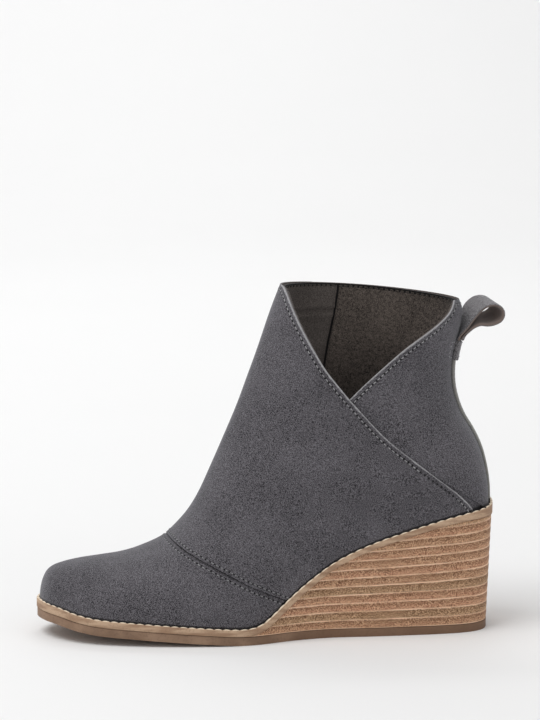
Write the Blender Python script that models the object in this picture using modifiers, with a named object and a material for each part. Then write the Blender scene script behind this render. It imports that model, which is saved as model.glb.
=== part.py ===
import bpy
import bmesh
import numpy as np

# An ankle boot for the left foot on a high stacked wedge, toe towards -X, outer side towards -Y.

# Driving sizes in metres.
LENGTH = 0.250
BALL_WIDTH = 0.084
HEEL_WIDTH = 0.063
COLLAR_WIDTH = 0.064
COLLAR_FRONT = 0.1887
COLLAR_BACK = 0.1808
HEEL_HEIGHT = 0.0695
TOE_SPRING = 0.0094
OUTSOLE_THICK = 0.0045
EDGE_ROUND = 0.0010
RAND_THICK = 0.0036
INSOLE_THICK = 0.0030
LAYER = 0.0049
LAYER_STEP = 0.00035
WALL = 0.0019
PANEL_STEP = 0.0010
LEDGE = 0.0016
GAP = 0.0003
HEEL_TAPER = 0.0020
BACKSTAY_WIDTH = 0.0090
BACKSTAY_THICK = 0.0016
STRAP_WIDTH = 0.0180
STRAP_THICK = 0.0014
PATCH_THICK = 0.0028
PATCH_DROP = 0.0234
PATCH_HEIGHT = 0.0106
LOOP_REACH = 0.0216
LOOP_RISE = 0.0212

# Sizes that follow from those above.
MARGIN = 3.0 * WALL
PATCH_TOP = COLLAR_BACK - PATCH_DROP

# Shares of the sizes above.
LAYER_FAN = 0.33
LAYER_MARK = 0.83
WEDGE_START = 0.466
BALL = 0.45
WAIST = (0.40, 0.66)
HEEL_BLEND = (0.42, 0.62)
RIDGE_END = 0.45
NEAREST = 0.0025
END_REACH = 0.012
STRIP_GAP = 1.4 * GAP
LOOP_SEAT = 2.0 * GAP
INSOLE_GAP = 4.0 * GAP

# The sole seen from above, from the toe to the heel, in shares of the length and the local width.
OUTLINE_COLUMNS = ("along", "outer", "inner")
OUTLINE = (
    (0.000, -0.048, 0.048),
    (0.010, 0.077, 0.155),
    (0.030, 0.179, 0.244),
    (0.060, 0.268, 0.321),
    (0.100, 0.339, 0.381),
    (0.160, 0.402, 0.435),
    (0.220, 0.444, 0.470),
    (0.280, 0.471, 0.488),
    (0.340, 0.488, 0.488),
    (0.400, 0.494, 0.462),
    (0.460, 0.492, 0.430),
    (0.540, 0.478, 0.411),
    (0.630, 0.493, 0.432),
    (0.720, 0.505, 0.452),
    (0.790, 0.502, 0.468),
    (0.860, 0.492, 0.476),
    (0.920, 0.465, 0.452),
    (0.960, 0.402, 0.394),
    (0.985, 0.289, 0.283),
    (1.000, 0.000, 0.000),
)

# Side heights of the sole: lift of the toe, rand thickness and climb of the wedge.
SOLE_COLUMNS = ("along", "spring", "rand", "climb")
SOLE = (
    (0.000, 1.00, 1.35, 0.000),
    (0.030, 0.96, 1.22, 0.000),
    (0.080, 0.70, 1.06, 0.000),
    (0.120, 0.55, 1.00, 0.000),
    (0.200, 0.42, 1.00, 0.000),
    (0.280, 0.27, 1.00, 0.000),
    (0.360, 0.12, 0.98, 0.000),
    (0.420, 0.02, 0.98, 0.000),
    (0.447, 0.00, 1.00, 0.008),
    (0.472, 0.00, 1.05, 0.043),
    (0.488, 0.00, 1.15, 0.089),
    (0.520, 0.00, 1.15, 0.201),
    (0.552, 0.00, 1.10, 0.313),
    (0.592, 0.00, 1.00, 0.437),
    (0.624, 0.00, 0.88, 0.526),
    (0.680, 0.00, 0.84, 0.645),
    (0.732, 0.00, 0.84, 0.730),
    (0.784, 0.00, 0.84, 0.797),
    (0.836, 0.00, 0.86, 0.861),
    (0.884, 0.00, 0.92, 0.912),
    (0.940, 0.00, 1.15, 0.959),
    (1.000, 0.00, 1.70, 1.000),
)

# Front and top line of the upper in side view, from the toe tip to the collar.
FRONT_COLUMNS = ("along", "rise")
FRONT = (
    (0.0064, 0.000),
    (0.0096, 0.036),
    (0.0150, 0.063),
    (0.0240, 0.086),
    (0.0370, 0.100),
    (0.0580, 0.110),
    (0.0940, 0.1205),
    (0.1410, 0.1295),
    (0.1860, 0.1385),
    (0.2250, 0.1545),
    (0.2620, 0.179),
    (0.2920, 0.2115),
    (0.3185, 0.257),
    (0.3485, 0.324),
    (0.3785, 0.424),
    (0.4212, 0.571),
    (0.4642, 0.739),
    (0.5065, 0.922),
    (0.5270, 1.000),
)

# Back line of the upper in side view, from the heel seat to the collar.
BACK_COLUMNS = ("along", "rise")
BACK = (
    (0.9915, 0.000),
    (0.9895, 0.090),
    (0.9830, 0.182),
    (0.9730, 0.268),
    (0.9555, 0.350),
    (0.9332, 0.431),
    (0.9190, 0.508),
    (0.9110, 0.590),
    (0.9110, 0.690),
    (0.9205, 0.798),
    (0.9298, 0.900),
    (0.9302, 0.955),
    (0.9225, 1.000),
)

# Sections of the upper. Front and foot place a section's two ends along the front line and along
# the feather line and the back, collar blends the half width from the sole's to the collar's, outer
# and inner swell it, widest tells where it is widest, nose and tail round it off.
SECTION_COLUMNS = ("front", "foot", "collar", "outer", "inner", "widest", "nose", "tail")
SECTIONS = (
    (0.000, 0.000, 0.00, 0.000, 0.000, 0.82, 2.20, 2.6),
    (0.050, 0.011, 0.00, 0.008, 0.008, 0.80, 2.20, 2.6),
    (0.091, 0.030, 0.00, 0.012, 0.012, 0.78, 2.20, 2.6),
    (0.137, 0.065, 0.00, 0.014, 0.014, 0.76, 2.20, 2.5),
    (0.207, 0.129, 0.00, 0.016, 0.016, 0.74, 2.10, 2.4),
    (0.282, 0.209, 0.00, 0.016, 0.016, 0.73, 2.05, 2.3),
    (0.352, 0.292, 0.00, 0.014, 0.014, 0.73, 2.00, 2.2),
    (0.414, 0.368, 0.00, 0.010, 0.010, 0.75, 1.95, 2.2),
    (0.468, 0.429, 0.00, 0.008, 0.008, 0.76, 1.90, 2.2),
    (0.522, 0.486, 0.00, 0.006, 0.010, 0.76, 1.90, 2.2),
    (0.580, 0.554, 0.00, 0.006, 0.014, 0.75, 1.90, 2.2),
    (0.638, 0.638, 0.00, 0.006, 0.016, 0.70, 1.95, 2.3),
    (0.692, 0.736, 0.00, 0.006, 0.014, 0.64, 2.00, 2.6),
    (0.737, 0.842, 0.10, 0.008, 0.012, 0.58, 2.00, 2.9),
    (0.775, 0.934, 0.20, 0.010, 0.010, 0.55, 2.00, 3.3),
    (0.808, 1.000, 0.30, 0.010, 0.010, 0.53, 2.00, 3.5),
    (0.841, 1.145, 0.45, 0.006, 0.006, 0.52, 2.00, 3.0),
    (0.874, 1.306, 0.60, 0.000, 0.000, 0.51, 2.00, 2.3),
    (0.907, 1.484, 0.80, -0.006, -0.006, 0.50, 2.00, 2.1),
    (0.940, 1.661, 0.90, -0.006, -0.006, 0.50, 2.00, 2.0),
    (0.969, 1.830, 1.00, 0.000, 0.000, 0.50, 2.00, 1.9),
    (1.000, 2.000, 1.00, 0.006, 0.006, 0.50, 2.00, 1.9),
)
HEEL_CORNER = 15
LEG_MARKS = (0.0, 0.25, 0.55, 0.9, 1.25, 1.6, 1.95, 2.3, 2.65, 3.0, 3.4, 3.8, 4.2, 4.65, 5.1, 5.55, 6.0)

# Lines on the upper in side view: shares of the length and of the front collar height.
LINE_COLUMNS = ("along", "rise")
V_FRONT = (
    (0.5180, 1.035),
    (0.5286, 0.998),
    (0.5427, 0.938),
    (0.5615, 0.880),
    (0.5854, 0.821),
    (0.6095, 0.769),
    (0.6340, 0.728),
    (0.6590, 0.688),
)
V_BACK = (
    (0.6590, 0.688),
    (0.6928, 0.733),
    (0.7352, 0.783),
    (0.7794, 0.829),
    (0.8251, 0.867),
    (0.8609, 0.897),
    (0.8860, 0.926),
    (0.8985, 0.954),
    (0.9060, 0.985),
    (0.9110, 1.035),
)
DIAGONAL = (
    (0.6590, 0.688),
    (0.7411, 0.573),
    (0.8199, 0.490),
    (0.8561, 0.455),
    (0.8880, 0.423),
    (0.9121, 0.396),
    (0.9353, 0.361),
    (0.9560, 0.300),
)
INNER_SEAM = (
    (0.600, 1.030),
    (0.650, 0.880),
    (0.720, 0.700),
    (0.820, 0.505),
    (0.910, 0.398),
    (0.955, 0.300),
)

# Path of the pull loop in side view, in shares of its reach and rise from the patch's top.
LOOP_COLUMNS = ("out", "up")
LOOP = (
    (0.000, 0.000),
    (0.035, 0.150),
    (0.110, 0.380),
    (0.225, 0.620),
    (0.380, 0.840),
    (0.560, 0.970),
    (0.730, 1.000),
    (0.880, 0.955),
    (0.975, 0.845),
    (1.000, 0.710),
    (0.955, 0.575),
    (0.840, 0.485),
    (0.650, 0.435),
    (0.430, 0.450),
    (0.275, 0.370),
    (0.170, 0.200),
    (0.095, 0.000),
)
# How far the loop's inner edge stands in and up against its outer edge.
LOOP_SKEW_OUT = -0.16
LOOP_SKEW_UP = 0.135


def column(names, rows, name):
    return np.array([row[names.index(name)] for row in rows], dtype=float)


def smooth_table(xs, ys, x):
    """Monotone cubic through the rows."""
    h = np.diff(xs)
    d = np.diff(ys) / h
    m = np.zeros(len(xs))
    m[0] = d[0]
    m[-1] = d[-1]
    for i in range(1, len(xs) - 1):
        if d[i - 1] * d[i] > 0:
            w1 = 2 * h[i] + h[i - 1]
            w2 = h[i] + 2 * h[i - 1]
            m[i] = (w1 + w2) / (w1 / d[i - 1] + w2 / d[i])
    x = np.clip(np.asarray(x, dtype=float), xs[0], xs[-1])
    k = np.clip(np.searchsorted(xs, x, side="right") - 1, 0, len(h) - 1)
    t = (x - xs[k]) / h[k]
    a = (2 * t ** 3 - 3 * t ** 2 + 1) * ys[k] + (t ** 3 - 2 * t ** 2 + t) * h[k] * m[k]
    b = (3 * t ** 2 - 2 * t ** 3) * ys[k + 1] + (t ** 3 - t ** 2) * h[k] * m[k + 1]
    return a + b


def spline(points, closed=False, per=12):
    """Centripetal curve through the points, as a dense polyline."""
    p = np.asarray(points, dtype=float)
    if closed:
        p = np.vstack([p[-1:], p, p[:2]])
    else:
        p = np.vstack([2 * p[0] - p[1], p, 2 * p[-1] - p[-2]])
    out = []
    for i in range(1, len(p) - 2):
        k = [0.0]
        for j in range(3):
            k.append(k[-1] + max(np.linalg.norm(p[i + j] - p[i + j - 1]), 1e-9) ** 0.5)
        for q in range(per):
            t = k[1] + (k[2] - k[1]) * q / per
            a1 = ((k[1] - t) * p[i - 1] + t * p[i]) / k[1]
            a2 = ((k[2] - t) * p[i] + (t - k[1]) * p[i + 1]) / (k[2] - k[1])
            a3 = ((k[3] - t) * p[i + 1] + (t - k[2]) * p[i + 2]) / (k[3] - k[2])
            b1 = ((k[2] - t) * a1 + t * a2) / k[2]
            b2 = ((k[3] - t) * a2 + (t - k[1]) * a3) / (k[3] - k[1])
            out.append(((k[2] - t) * b1 + (t - k[1]) * b2) / (k[2] - k[1]))
    if not closed:
        out.append(p[-2])
    return np.array(out)


class Path:
    """A polyline looked up by its share of length."""

    def __init__(self, points):
        self.points = np.asarray(points, dtype=float)
        steps = np.linalg.norm(np.diff(self.points, axis=0), axis=1)
        self.run = np.concatenate([[0.0], np.cumsum(steps)])
        self.run /= self.run[-1]

    def at(self, share):
        share = np.clip(share, 0.0, 1.0)
        cols = [np.interp(share, self.run, self.points[:, i]) for i in range(self.points.shape[1])]
        return np.stack(cols, axis=-1)


def ease(x, low, high):
    t = np.clip((np.asarray(x, dtype=float) - low) / (high - low), 0.0, 1.0)
    return t * t * (3 - 2 * t)


def sole_column(name, x):
    return smooth_table(column(SOLE_COLUMNS, SOLE, "along"), column(SOLE_COLUMNS, SOLE, name),
                        np.asarray(x, dtype=float) / LENGTH)


def ground(x):
    return TOE_SPRING * sole_column("spring", x)


def outsole_top(x):
    return ground(x) + OUTSOLE_THICK


def feather(x):
    """Top of the rand, where the upper starts."""
    rand = np.where(np.asarray(x) < BALL * LENGTH, sole_column("rand", x), 1.0)
    forefoot = outsole_top(x) + GAP + RAND_THICK * rand
    lift = HEEL_HEIGHT - OUTSOLE_THICK - GAP - RAND_THICK
    return forefoot + lift * sole_column("climb", x)


def rand_under(x):
    """Underside of the rand: on the outsole in front, on the wedge behind."""
    return np.maximum(outsole_top(x) + GAP, feather(x) - RAND_THICK * sole_column("rand", x))


def outline_points():
    along = column(OUTLINE_COLUMNS, OUTLINE, "along")
    width = BALL_WIDTH + (HEEL_WIDTH - BALL_WIDTH) * ease(along, *WAIST)
    outer = -width * column(OUTLINE_COLUMNS, OUTLINE, "outer")
    inner = width * column(OUTLINE_COLUMNS, OUTLINE, "inner")
    ahead = [(LENGTH * a, y) for a, y in zip(along, outer)]
    back = [(LENGTH * a, y) for a, y in zip(along[1:-1], inner[1:-1])]
    return ahead + back[::-1]


OUTLINE_CURVE = spline(outline_points(), closed=True)
OUTLINE_CACHE = {}


def outline(inset):
    """The sole's outline moved in by a distance, split into the outer and the inner side."""
    key = round(inset, 7)
    if key not in OUTLINE_CACHE:
        p = OUTLINE_CURVE
        tangent = np.roll(p, -1, axis=0) - np.roll(p, 1, axis=0)
        normal = np.stack([-tangent[:, 1], tangent[:, 0]], axis=1)
        normal /= np.linalg.norm(normal, axis=1)[:, None]
        q = p + normal * inset
        toe = int(np.argmin(q[:, 0]))
        q = np.roll(q, -toe, axis=0)
        heel = int(np.argmax(q[:, 0]))
        outer = q[:heel + 1]
        inner = np.vstack([q[heel:], q[:1]])[::-1]
        OUTLINE_CACHE[key] = (outer, inner)
    return OUTLINE_CACHE[key]


def side_y(side, x, inset):
    """Y of the sole's edge at x on one side, -1 for the outer and 1 for the inner side."""
    p = outline(inset)[0 if side < 0 else 1]
    return np.interp(x, np.maximum.accumulate(p[:, 0]), p[:, 1])


def sole_stations():
    """Places along the shoe that every sole piece shares, closer where the side line turns."""
    t = np.linspace(0.0, 1.0, 31)
    shares = list(0.3 * t + 0.7 * (0.5 - 0.5 * np.cos(np.pi * t)))
    shares += list(np.arange(0.43, 0.56, 0.012))
    shares = sorted(shares)
    kept = [shares[0]]
    for share in shares[1:]:
        if share - kept[-1] > 0.005:
            kept.append(share)
    return LENGTH * np.array(kept)


STATIONS = sole_stations()


def between(low, high):
    """The shared places between two ends, with the ends themselves."""
    near = NEAREST * LENGTH
    return np.array([low] + [x for x in STATIONS if low + near < x < high - near] + [high])


def round_end(tip, first):
    """Places from a round tip up to its first shared station."""
    return tip + (first - tip) * np.array([0.0, 0.07, 0.25, 0.56])


def slant(x, height):
    """How much longer a gap is when it is measured upright on a sloping line."""
    step = 0.004 * LENGTH
    return np.sqrt(1.0 + ((height(x + step) - height(x - step)) / (2 * step)) ** 2)


def ring(start_at, toe_inset, heel_inset, height, deepest):
    """One level of a sole piece. The piece's deepest inset sets which stations all its levels have."""
    tip = outline(toe_inset)[0][0, 0]
    end = outline(heel_inset)[0][-1, 0]
    reserve = deepest + END_REACH * LENGTH
    blunt = start_at > 0
    low = LENGTH * start_at if blunt else reserve
    x = between(low, LENGTH - reserve)[1:-1]
    heel_end = round_end(end, x[-1])[::-1]
    toe_end = [low + toe_inset] if blunt else round_end(tip, x[0])
    x = np.concatenate([toe_end, x, heel_end])
    mix = ease(x / LENGTH, *HEEL_BLEND)
    sides = []
    for side in (-1, 1):
        y = (1 - mix) * side_y(side, x, toe_inset) + mix * side_y(side, x, heel_inset)
        sides.append(np.stack([x, y, height(x)], axis=1))
    outer, inner = sides
    inner[-1] = outer[-1]
    if blunt:
        return [tuple(p) for p in outer] + [tuple(p) for p in inner[-2::-1]]
    inner[0] = outer[0]
    return [tuple(p) for p in outer] + [tuple(p) for p in inner[-2:0:-1]]


def loft(name, rings, blunt=False):
    """A closed body through rings of equal count, capped by strips across the shoe."""
    bm = bmesh.new()
    rows = [[bm.verts.new(p) for p in r] for r in rings]
    n = len(rows[0])
    for low, high in zip(rows[:-1], rows[1:]):
        for i in range(n):
            j = (i + 1) % n
            bm.faces.new((low[i], low[j], high[j], high[i]))
    for row in (rows[0], rows[-1]):
        if blunt:
            left = row[:(n + 1) // 2]
            right = [row[0 if i == n else i] for i in range(n - 1, (n + 1) // 2 - 1, -1)]
            right.append(left[-1])
        else:
            half = n // 2
            left = row[:half + 1]
            right = [row[0]] + row[:half - 1:-1]
        for i in range(len(left) - 1):
            quad = [left[i], left[i + 1], right[i + 1], right[i]]
            face = [v for k, v in enumerate(quad) if v not in quad[:k]]
            if len(face) > 2:
                bm.faces.new(face)
    return body(name, bm)


def body(name, bm, store=None):
    bmesh.ops.recalc_face_normals(bm, faces=bm.faces)
    mesh = bpy.data.meshes.new(name)
    bm.to_mesh(mesh)
    bm.free()
    obj = bpy.data.objects.new(name, mesh)
    (store or SHOE).objects.link(obj)
    if store is CUTTERS:
        obj.hide_render = True
        obj.display_type = "WIRE"
    return obj


def prism(name, polygon, y_low, y_high):
    """A side view polygon drawn out across the shoe."""
    bm = bmesh.new()
    base = bm.faces.new([bm.verts.new((x, y_low, z)) for x, z in polygon])
    moved = bmesh.ops.extrude_face_region(bm, geom=[base])
    verts = [v for v in moved["geom"] if isinstance(v, bmesh.types.BMVert)]
    bmesh.ops.translate(bm, verts=verts, vec=(0.0, y_high - y_low, 0.0))
    return body(name, bm, CUTTERS)


def boolean(obj, cutter, operation="DIFFERENCE"):
    mod = obj.modifiers.new(operation.lower() + "_" + cutter.name, "BOOLEAN")
    mod.object = cutter
    mod.operation = operation
    mod.solver = "EXACT"


def material(obj, colour, rough):
    mat = bpy.data.materials.new(obj.name)
    mat.use_nodes = True
    shader = mat.node_tree.nodes["Principled BSDF"]
    shader.inputs["Base Color"].default_value = (*colour, 1.0)
    shader.inputs["Roughness"].default_value = rough
    obj.data.materials.append(mat)


def front_path():
    base = float(feather(0.0))
    x = LENGTH * column(FRONT_COLUMNS, FRONT, "along")
    z = base + (COLLAR_FRONT - base) * column(FRONT_COLUMNS, FRONT, "rise")
    p = spline(np.stack([x, z], axis=1))
    tip = (p[0, 0], p[0, 1] - MARGIN)
    end = p[-1] + (p[-1] - p[-2]) / np.linalg.norm(p[-1] - p[-2]) * MARGIN
    return Path(np.vstack([[tip], p, [end]]))


def back_line():
    base = float(feather(LENGTH))
    x = LENGTH * column(BACK_COLUMNS, BACK, "along")
    z = base + (COLLAR_BACK - base) * column(BACK_COLUMNS, BACK, "rise")
    return spline(np.stack([x, z], axis=1))


def foot_path():
    start = outline(LEDGE)[0][0, 0]
    end = outline(LEDGE)[0][-1, 0]
    x = np.sort(np.concatenate([between(start, end), start + (end - start) * np.linspace(0, 1, 200) ** 2,
                                end - (end - start) * np.linspace(0, 1, 200) ** 2]))
    return Path(np.stack([x, np.interp(x, STATIONS, feather(STATIONS)) - MARGIN], axis=1))


def back_path():
    p = back_line()
    end = outline(LEDGE)[0][-1, 0]
    low = (end, float(feather(end)) - MARGIN)
    top = p[-1] + (p[-1] - p[-2]) / np.linalg.norm(p[-1] - p[-2]) * MARGIN
    return Path(np.vstack([[low], p, [top]]))


FRONT_PATH = front_path()
FOOT_PATH = foot_path()
BACK_PATH = back_path()


class Section:
    """One plane section of the upper, from the front line down or back to its far end."""

    def __init__(self, s):
        rows = np.arange(len(SECTIONS), dtype=float)
        value = {n: float(smooth_table(rows, column(SECTION_COLUMNS, SECTIONS, n), s))
                 for n in SECTION_COLUMNS}
        self.value = value
        self.top = FRONT_PATH.at(value["front"])
        foot = value["foot"]
        self.low = FOOT_PATH.at(foot) if foot <= 1.0 else BACK_PATH.at(foot - 1.0)
        self.closed = foot >= 1.0
        x = self.low[0]
        toe = OUTLINE_CURVE[0, 1]
        self.ridge = toe * float(1.0 - ease(self.top[0] / LENGTH, 0.0, RIDGE_END))
        self.half = {}
        self.end = {}
        for side in (-1, 1):
            seat = abs(float(side_y(side, min(x, 0.86 * LENGTH), LEDGE)))
            if x < 0.1 * LENGTH:
                seat = side * float(side_y(side, x, LEDGE))
            half = seat + (0.5 * COLLAR_WIDTH - seat) * value["collar"]
            half += HEEL_WIDTH * value["outer" if side < 0 else "inner"]
            self.half[side] = half
            self.end[side] = 0.0 if self.closed else side * float(side_y(side, x, LEDGE))

    def across(self, side, share):
        """Y at a share of the way from the top to the far end."""
        v = self.value
        half = self.half[side]
        end = self.end[side]
        ridge = side * self.ridge
        if share <= v["widest"]:
            u = 1.0 - share / v["widest"]
            return side * (ridge + (half - ridge) * max(1.0 - u ** v["nose"], 0.0) ** (1.0 / v["nose"]))
        u = (share - v["widest"]) / (1.0 - v["widest"])
        close = (half - end) / half
        power = 1.0 + (1.0 / v["tail"] - 1.0) * close
        return side * (end + (half - end) * max(1.0 - u ** v["tail"], 0.0) ** power)

    def point(self, side, share):
        p = self.top + (self.low - self.top) * share
        return (float(p[0]), float(self.across(side, share)), float(p[1]))

    def shares(self, front_count, back_count):
        """Where the columns stand, from the top to the far end."""
        w = self.value["widest"]
        a = [w * (1.0 - np.cos(0.5 * np.pi * i / front_count)) for i in range(front_count)]
        power = 2.0 / self.value["tail"] if self.closed else 1.0
        b = [w + (1.0 - w) * np.sin(0.5 * np.pi * i / back_count) ** power for i in range(back_count + 1)]
        return a + b


def station_marks():
    """Section numbers, close together at the toe and at the heel corner."""
    toe = [0.0, 0.7, 1.15, 1.7, 2.4, 3.2]
    foot = list(np.linspace(4.0, 13.4, 13))
    heel = [14.0, 14.35, 14.65, 14.87]
    leg = list(HEEL_CORNER + np.array(LEG_MARKS))
    return toe + foot + heel + leg


FRONT_COLUMN_COUNT = 7
BACK_COLUMN_COUNT = 8


def upper_grid(marks):
    """Points of the upper's face: outer columns, then inner columns, per section."""
    grid = []
    for s in marks:
        section = Section(s)
        shares = section.shares(FRONT_COLUMN_COUNT, BACK_COLUMN_COUNT)
        grid.append({side: [section.point(side, q) for q in shares] for side in (-1, 1)})
    return grid


def upper_skin(marks):
    """The upper's face as an open sheet with its normals outwards."""
    bm = bmesh.new()
    grid = upper_grid(marks)
    rows = []
    for s, points in zip(marks, grid):
        outer = [bm.verts.new(p) for p in points[-1]]
        inner = [outer[0]] + [bm.verts.new(p) for p in points[1][1:]]
        if Section(s).closed:
            bm.verts.remove(inner[-1])
            inner[-1] = outer[-1]
        rows.append((outer, inner))
    tip = rows[0]
    centre = bm.verts.new(grid[0][-1][0])
    for v in set(tip[0] + tip[1]):
        bm.verts.remove(v)
    rows[0] = ([centre] * len(tip[0]), [centre] * len(tip[1]))
    for low, high in zip(rows[:-1], rows[1:]):
        for side in (0, 1):
            for j in range(len(low[side]) - 1):
                quad = [low[side][j], low[side][j + 1], high[side][j + 1], high[side][j]]
                if side == 0:
                    quad.reverse()
                face = [v for k, v in enumerate(quad) if v not in quad[:k]]
                if len(face) > 2:
                    bm.faces.new(face)
    bm.normal_update()
    top = max(bm.faces, key=lambda f: f.calc_center_median().x * -1.0)
    if top.normal.x > 0:
        bmesh.ops.reverse_faces(bm, faces=bm.faces)
        bm.normal_update()
    return bm


def move_along_normals(bm, distance):
    shifts = [v.normal * distance for v in bm.verts]
    for v, shift in zip(bm.verts, shifts):
        v.co += shift


def sheet(name, bm, store):
    mesh = bpy.data.meshes.new(name)
    bm.to_mesh(mesh)
    bm.free()
    obj = bpy.data.objects.new(name, mesh)
    store.objects.link(obj)
    if store is CUTTERS:
        obj.hide_render = True
        obj.display_type = "WIRE"
    return obj


def thicken(obj, thickness, offset=-1.0):
    mod = obj.modifiers.new("wall", "SOLIDIFY")
    mod.thickness = thickness
    mod.offset = offset
    mod.use_even_offset = True
    mod.use_rim = True


def line(rows):
    """A line of the upper in side view."""
    x = LENGTH * column(LINE_COLUMNS, rows, "along")
    z = COLLAR_FRONT * column(LINE_COLUMNS, rows, "rise")
    return spline(np.stack([x, z], axis=1), per=4)


def build_upper():
    top_of_all = COLLAR_FRONT + 4 * MARGIN
    far = BALL_WIDTH
    end = 2 * LENGTH
    upper = sheet("upper", upper_skin(station_marks()), SHOE)
    thicken(upper, WALL + PANEL_STEP)

    front = (LENGTH * FRONT[-1][0], COLLAR_FRONT)
    back = (float(back_line()[-1, 0]), COLLAR_BACK)
    slope = (back[1] - front[1]) / (back[0] - front[0])
    reach = LENGTH
    collar = [(front[0] - reach, front[1] - slope * reach),
              (back[0] + reach, back[1] + slope * reach),
              (back[0] + reach, top_of_all + reach),
              (front[0] - reach, top_of_all + reach)]
    x = between(0.0, LENGTH)
    rest = feather(x) + GAP * slant(x, feather)
    sole = [(-MARGIN, float(rest[0]))] + [(float(a), float(b)) for a, b in zip(x, rest)]
    sole += [(LENGTH + MARGIN, float(rest[-1]))]
    sole += [(LENGTH + MARGIN, -LENGTH), (-MARGIN, -LENGTH)]
    v_cut = [tuple(p) for p in line(V_FRONT)] + [tuple(p) for p in line(V_BACK)[1:]]
    v_cut += [(v_cut[-1][0], top_of_all), (v_cut[0][0], top_of_all)]
    boolean(upper, prism("sole_cut", sole, -far, far))
    boolean(upper, prism("collar_cut", collar, -far, far))
    boolean(upper, prism("v_cut", v_cut, -far, GAP))

    skin = upper_skin(station_marks())
    move_along_normals(skin, PANEL_STEP)
    relief = sheet("quarter_relief", skin, CUTTERS)
    thicken(relief, 2 * PANEL_STEP)
    outer_edge = [(0.69 * LENGTH, top_of_all)] + [tuple(p) for p in line(DIAGONAL)]
    outer_keep = outer_edge + [(LENGTH, -MARGIN), (-end, -MARGIN), (-end, top_of_all)]
    inner_edge = [(0.56 * LENGTH, top_of_all)] + [tuple(p) for p in line(INNER_SEAM)]
    inner_keep = inner_edge + [(LENGTH, -MARGIN), (-end, -MARGIN), (-end, top_of_all)]
    boolean(relief, prism("outer_panel_area", outer_keep, -far, 0.0))
    boolean(relief, prism("inner_panel_area", inner_keep, -GAP, far))
    boolean(upper, relief)
    material(upper, (0.075, 0.075, 0.08), 0.9)
    return upper


def build_outsole():

    def level(lift):
        return lambda x: ground(x) + lift

    deepest = HEEL_TAPER + LAYER_STEP + EDGE_ROUND
    rings = []
    for inset, lift in ((1.0, 0.0), (0.3, 0.3), (0.0, 1.0), (0.0, OUTSOLE_THICK / EDGE_ROUND)):
        inset = LAYER_STEP + inset * EDGE_ROUND
        rings.append(ring(0.0, inset, HEEL_TAPER + inset, level(lift * EDGE_ROUND), deepest))
    outsole = loft("outsole", rings)
    material(outsole, (0.20, 0.13, 0.08), 0.7)
    return outsole


def build_midsole():
    chamfer = 0.25 * EDGE_ROUND
    rings = [
        ring(0.0, 0.0, 0.0, rand_under, chamfer),
        ring(0.0, 0.0, 0.0, lambda x: feather(x) - chamfer, chamfer),
        ring(0.0, chamfer, chamfer, feather, chamfer),
    ]
    midsole = loft("midsole", rings)
    material(midsole, (0.42, 0.29, 0.18), 0.6)
    return midsole


def layer_height(k, x):
    pitch = LAYER * (1.0 + LAYER_FAN * (np.asarray(x) / LENGTH - LAYER_MARK))
    return outsole_top(x) + GAP + k * pitch


def build_wedge():
    base = OUTSOLE_THICK + GAP
    top = float(rand_under(LENGTH))
    count = int(np.ceil((top - base) / LAYER)) + 1
    deepest = HEEL_TAPER + 2 * LAYER_STEP
    rings = []
    for k in range(count):
        for lift, step in ((0, LAYER_STEP), (1, 0.0)):
            share = min((k + lift) * LAYER / (top - base), 1.0)
            inset = HEEL_TAPER * (1.0 - share) + LAYER_STEP + step
            rings.append(ring(WEDGE_START, inset, inset, lambda x, n=k + lift: layer_height(n, x), deepest))
    wedge = loft("wedge", rings, True)
    x = between(0.4 * LENGTH, LENGTH)
    under = rand_under(x) - GAP * slant(x, rand_under)
    under = [(float(a), float(b)) for a, b in zip(x, under)]
    under += [(LENGTH + MARGIN, under[-1][1]), (LENGTH + MARGIN, LENGTH), (0.4 * LENGTH, LENGTH)]
    boolean(wedge, prism("rand_cut", under, -BALL_WIDTH, BALL_WIDTH))
    material(wedge, (0.45, 0.27, 0.15), 0.6)
    return wedge


def build_insole():
    inset = LEDGE + PANEL_STEP + WALL + INSOLE_GAP
    rings = [
        ring(0.0, inset, inset, lambda x: feather(x) + GAP * slant(x, feather), inset),
        ring(0.0, inset, inset, lambda x: feather(x) + GAP * slant(x, feather) + INSOLE_THICK, inset),
    ]
    insole = loft("insole", rings)
    material(insole, (0.12, 0.11, 0.10), 0.9)
    return insole


def section_at_back(z):
    """The section whose far end on the back line has a given height."""
    low, high = float(HEEL_CORNER), float(len(SECTIONS) - 1)
    for _ in range(40):
        mid = 0.5 * (low + high)
        if Section(mid).low[1] < z:
            low = mid
        else:
            high = mid
    return 0.5 * (low + high)


def back_point(section, y):
    """Point of the upper's face near the back line at a given y."""
    side = -1 if y < 0 else 1
    v = section.value
    u = max(1.0 - (abs(y) / section.half[side]) ** v["tail"], 0.0) ** (1.0 / v["tail"])
    return np.array(section.point(side, v["widest"] + (1.0 - v["widest"]) * u))


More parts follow.
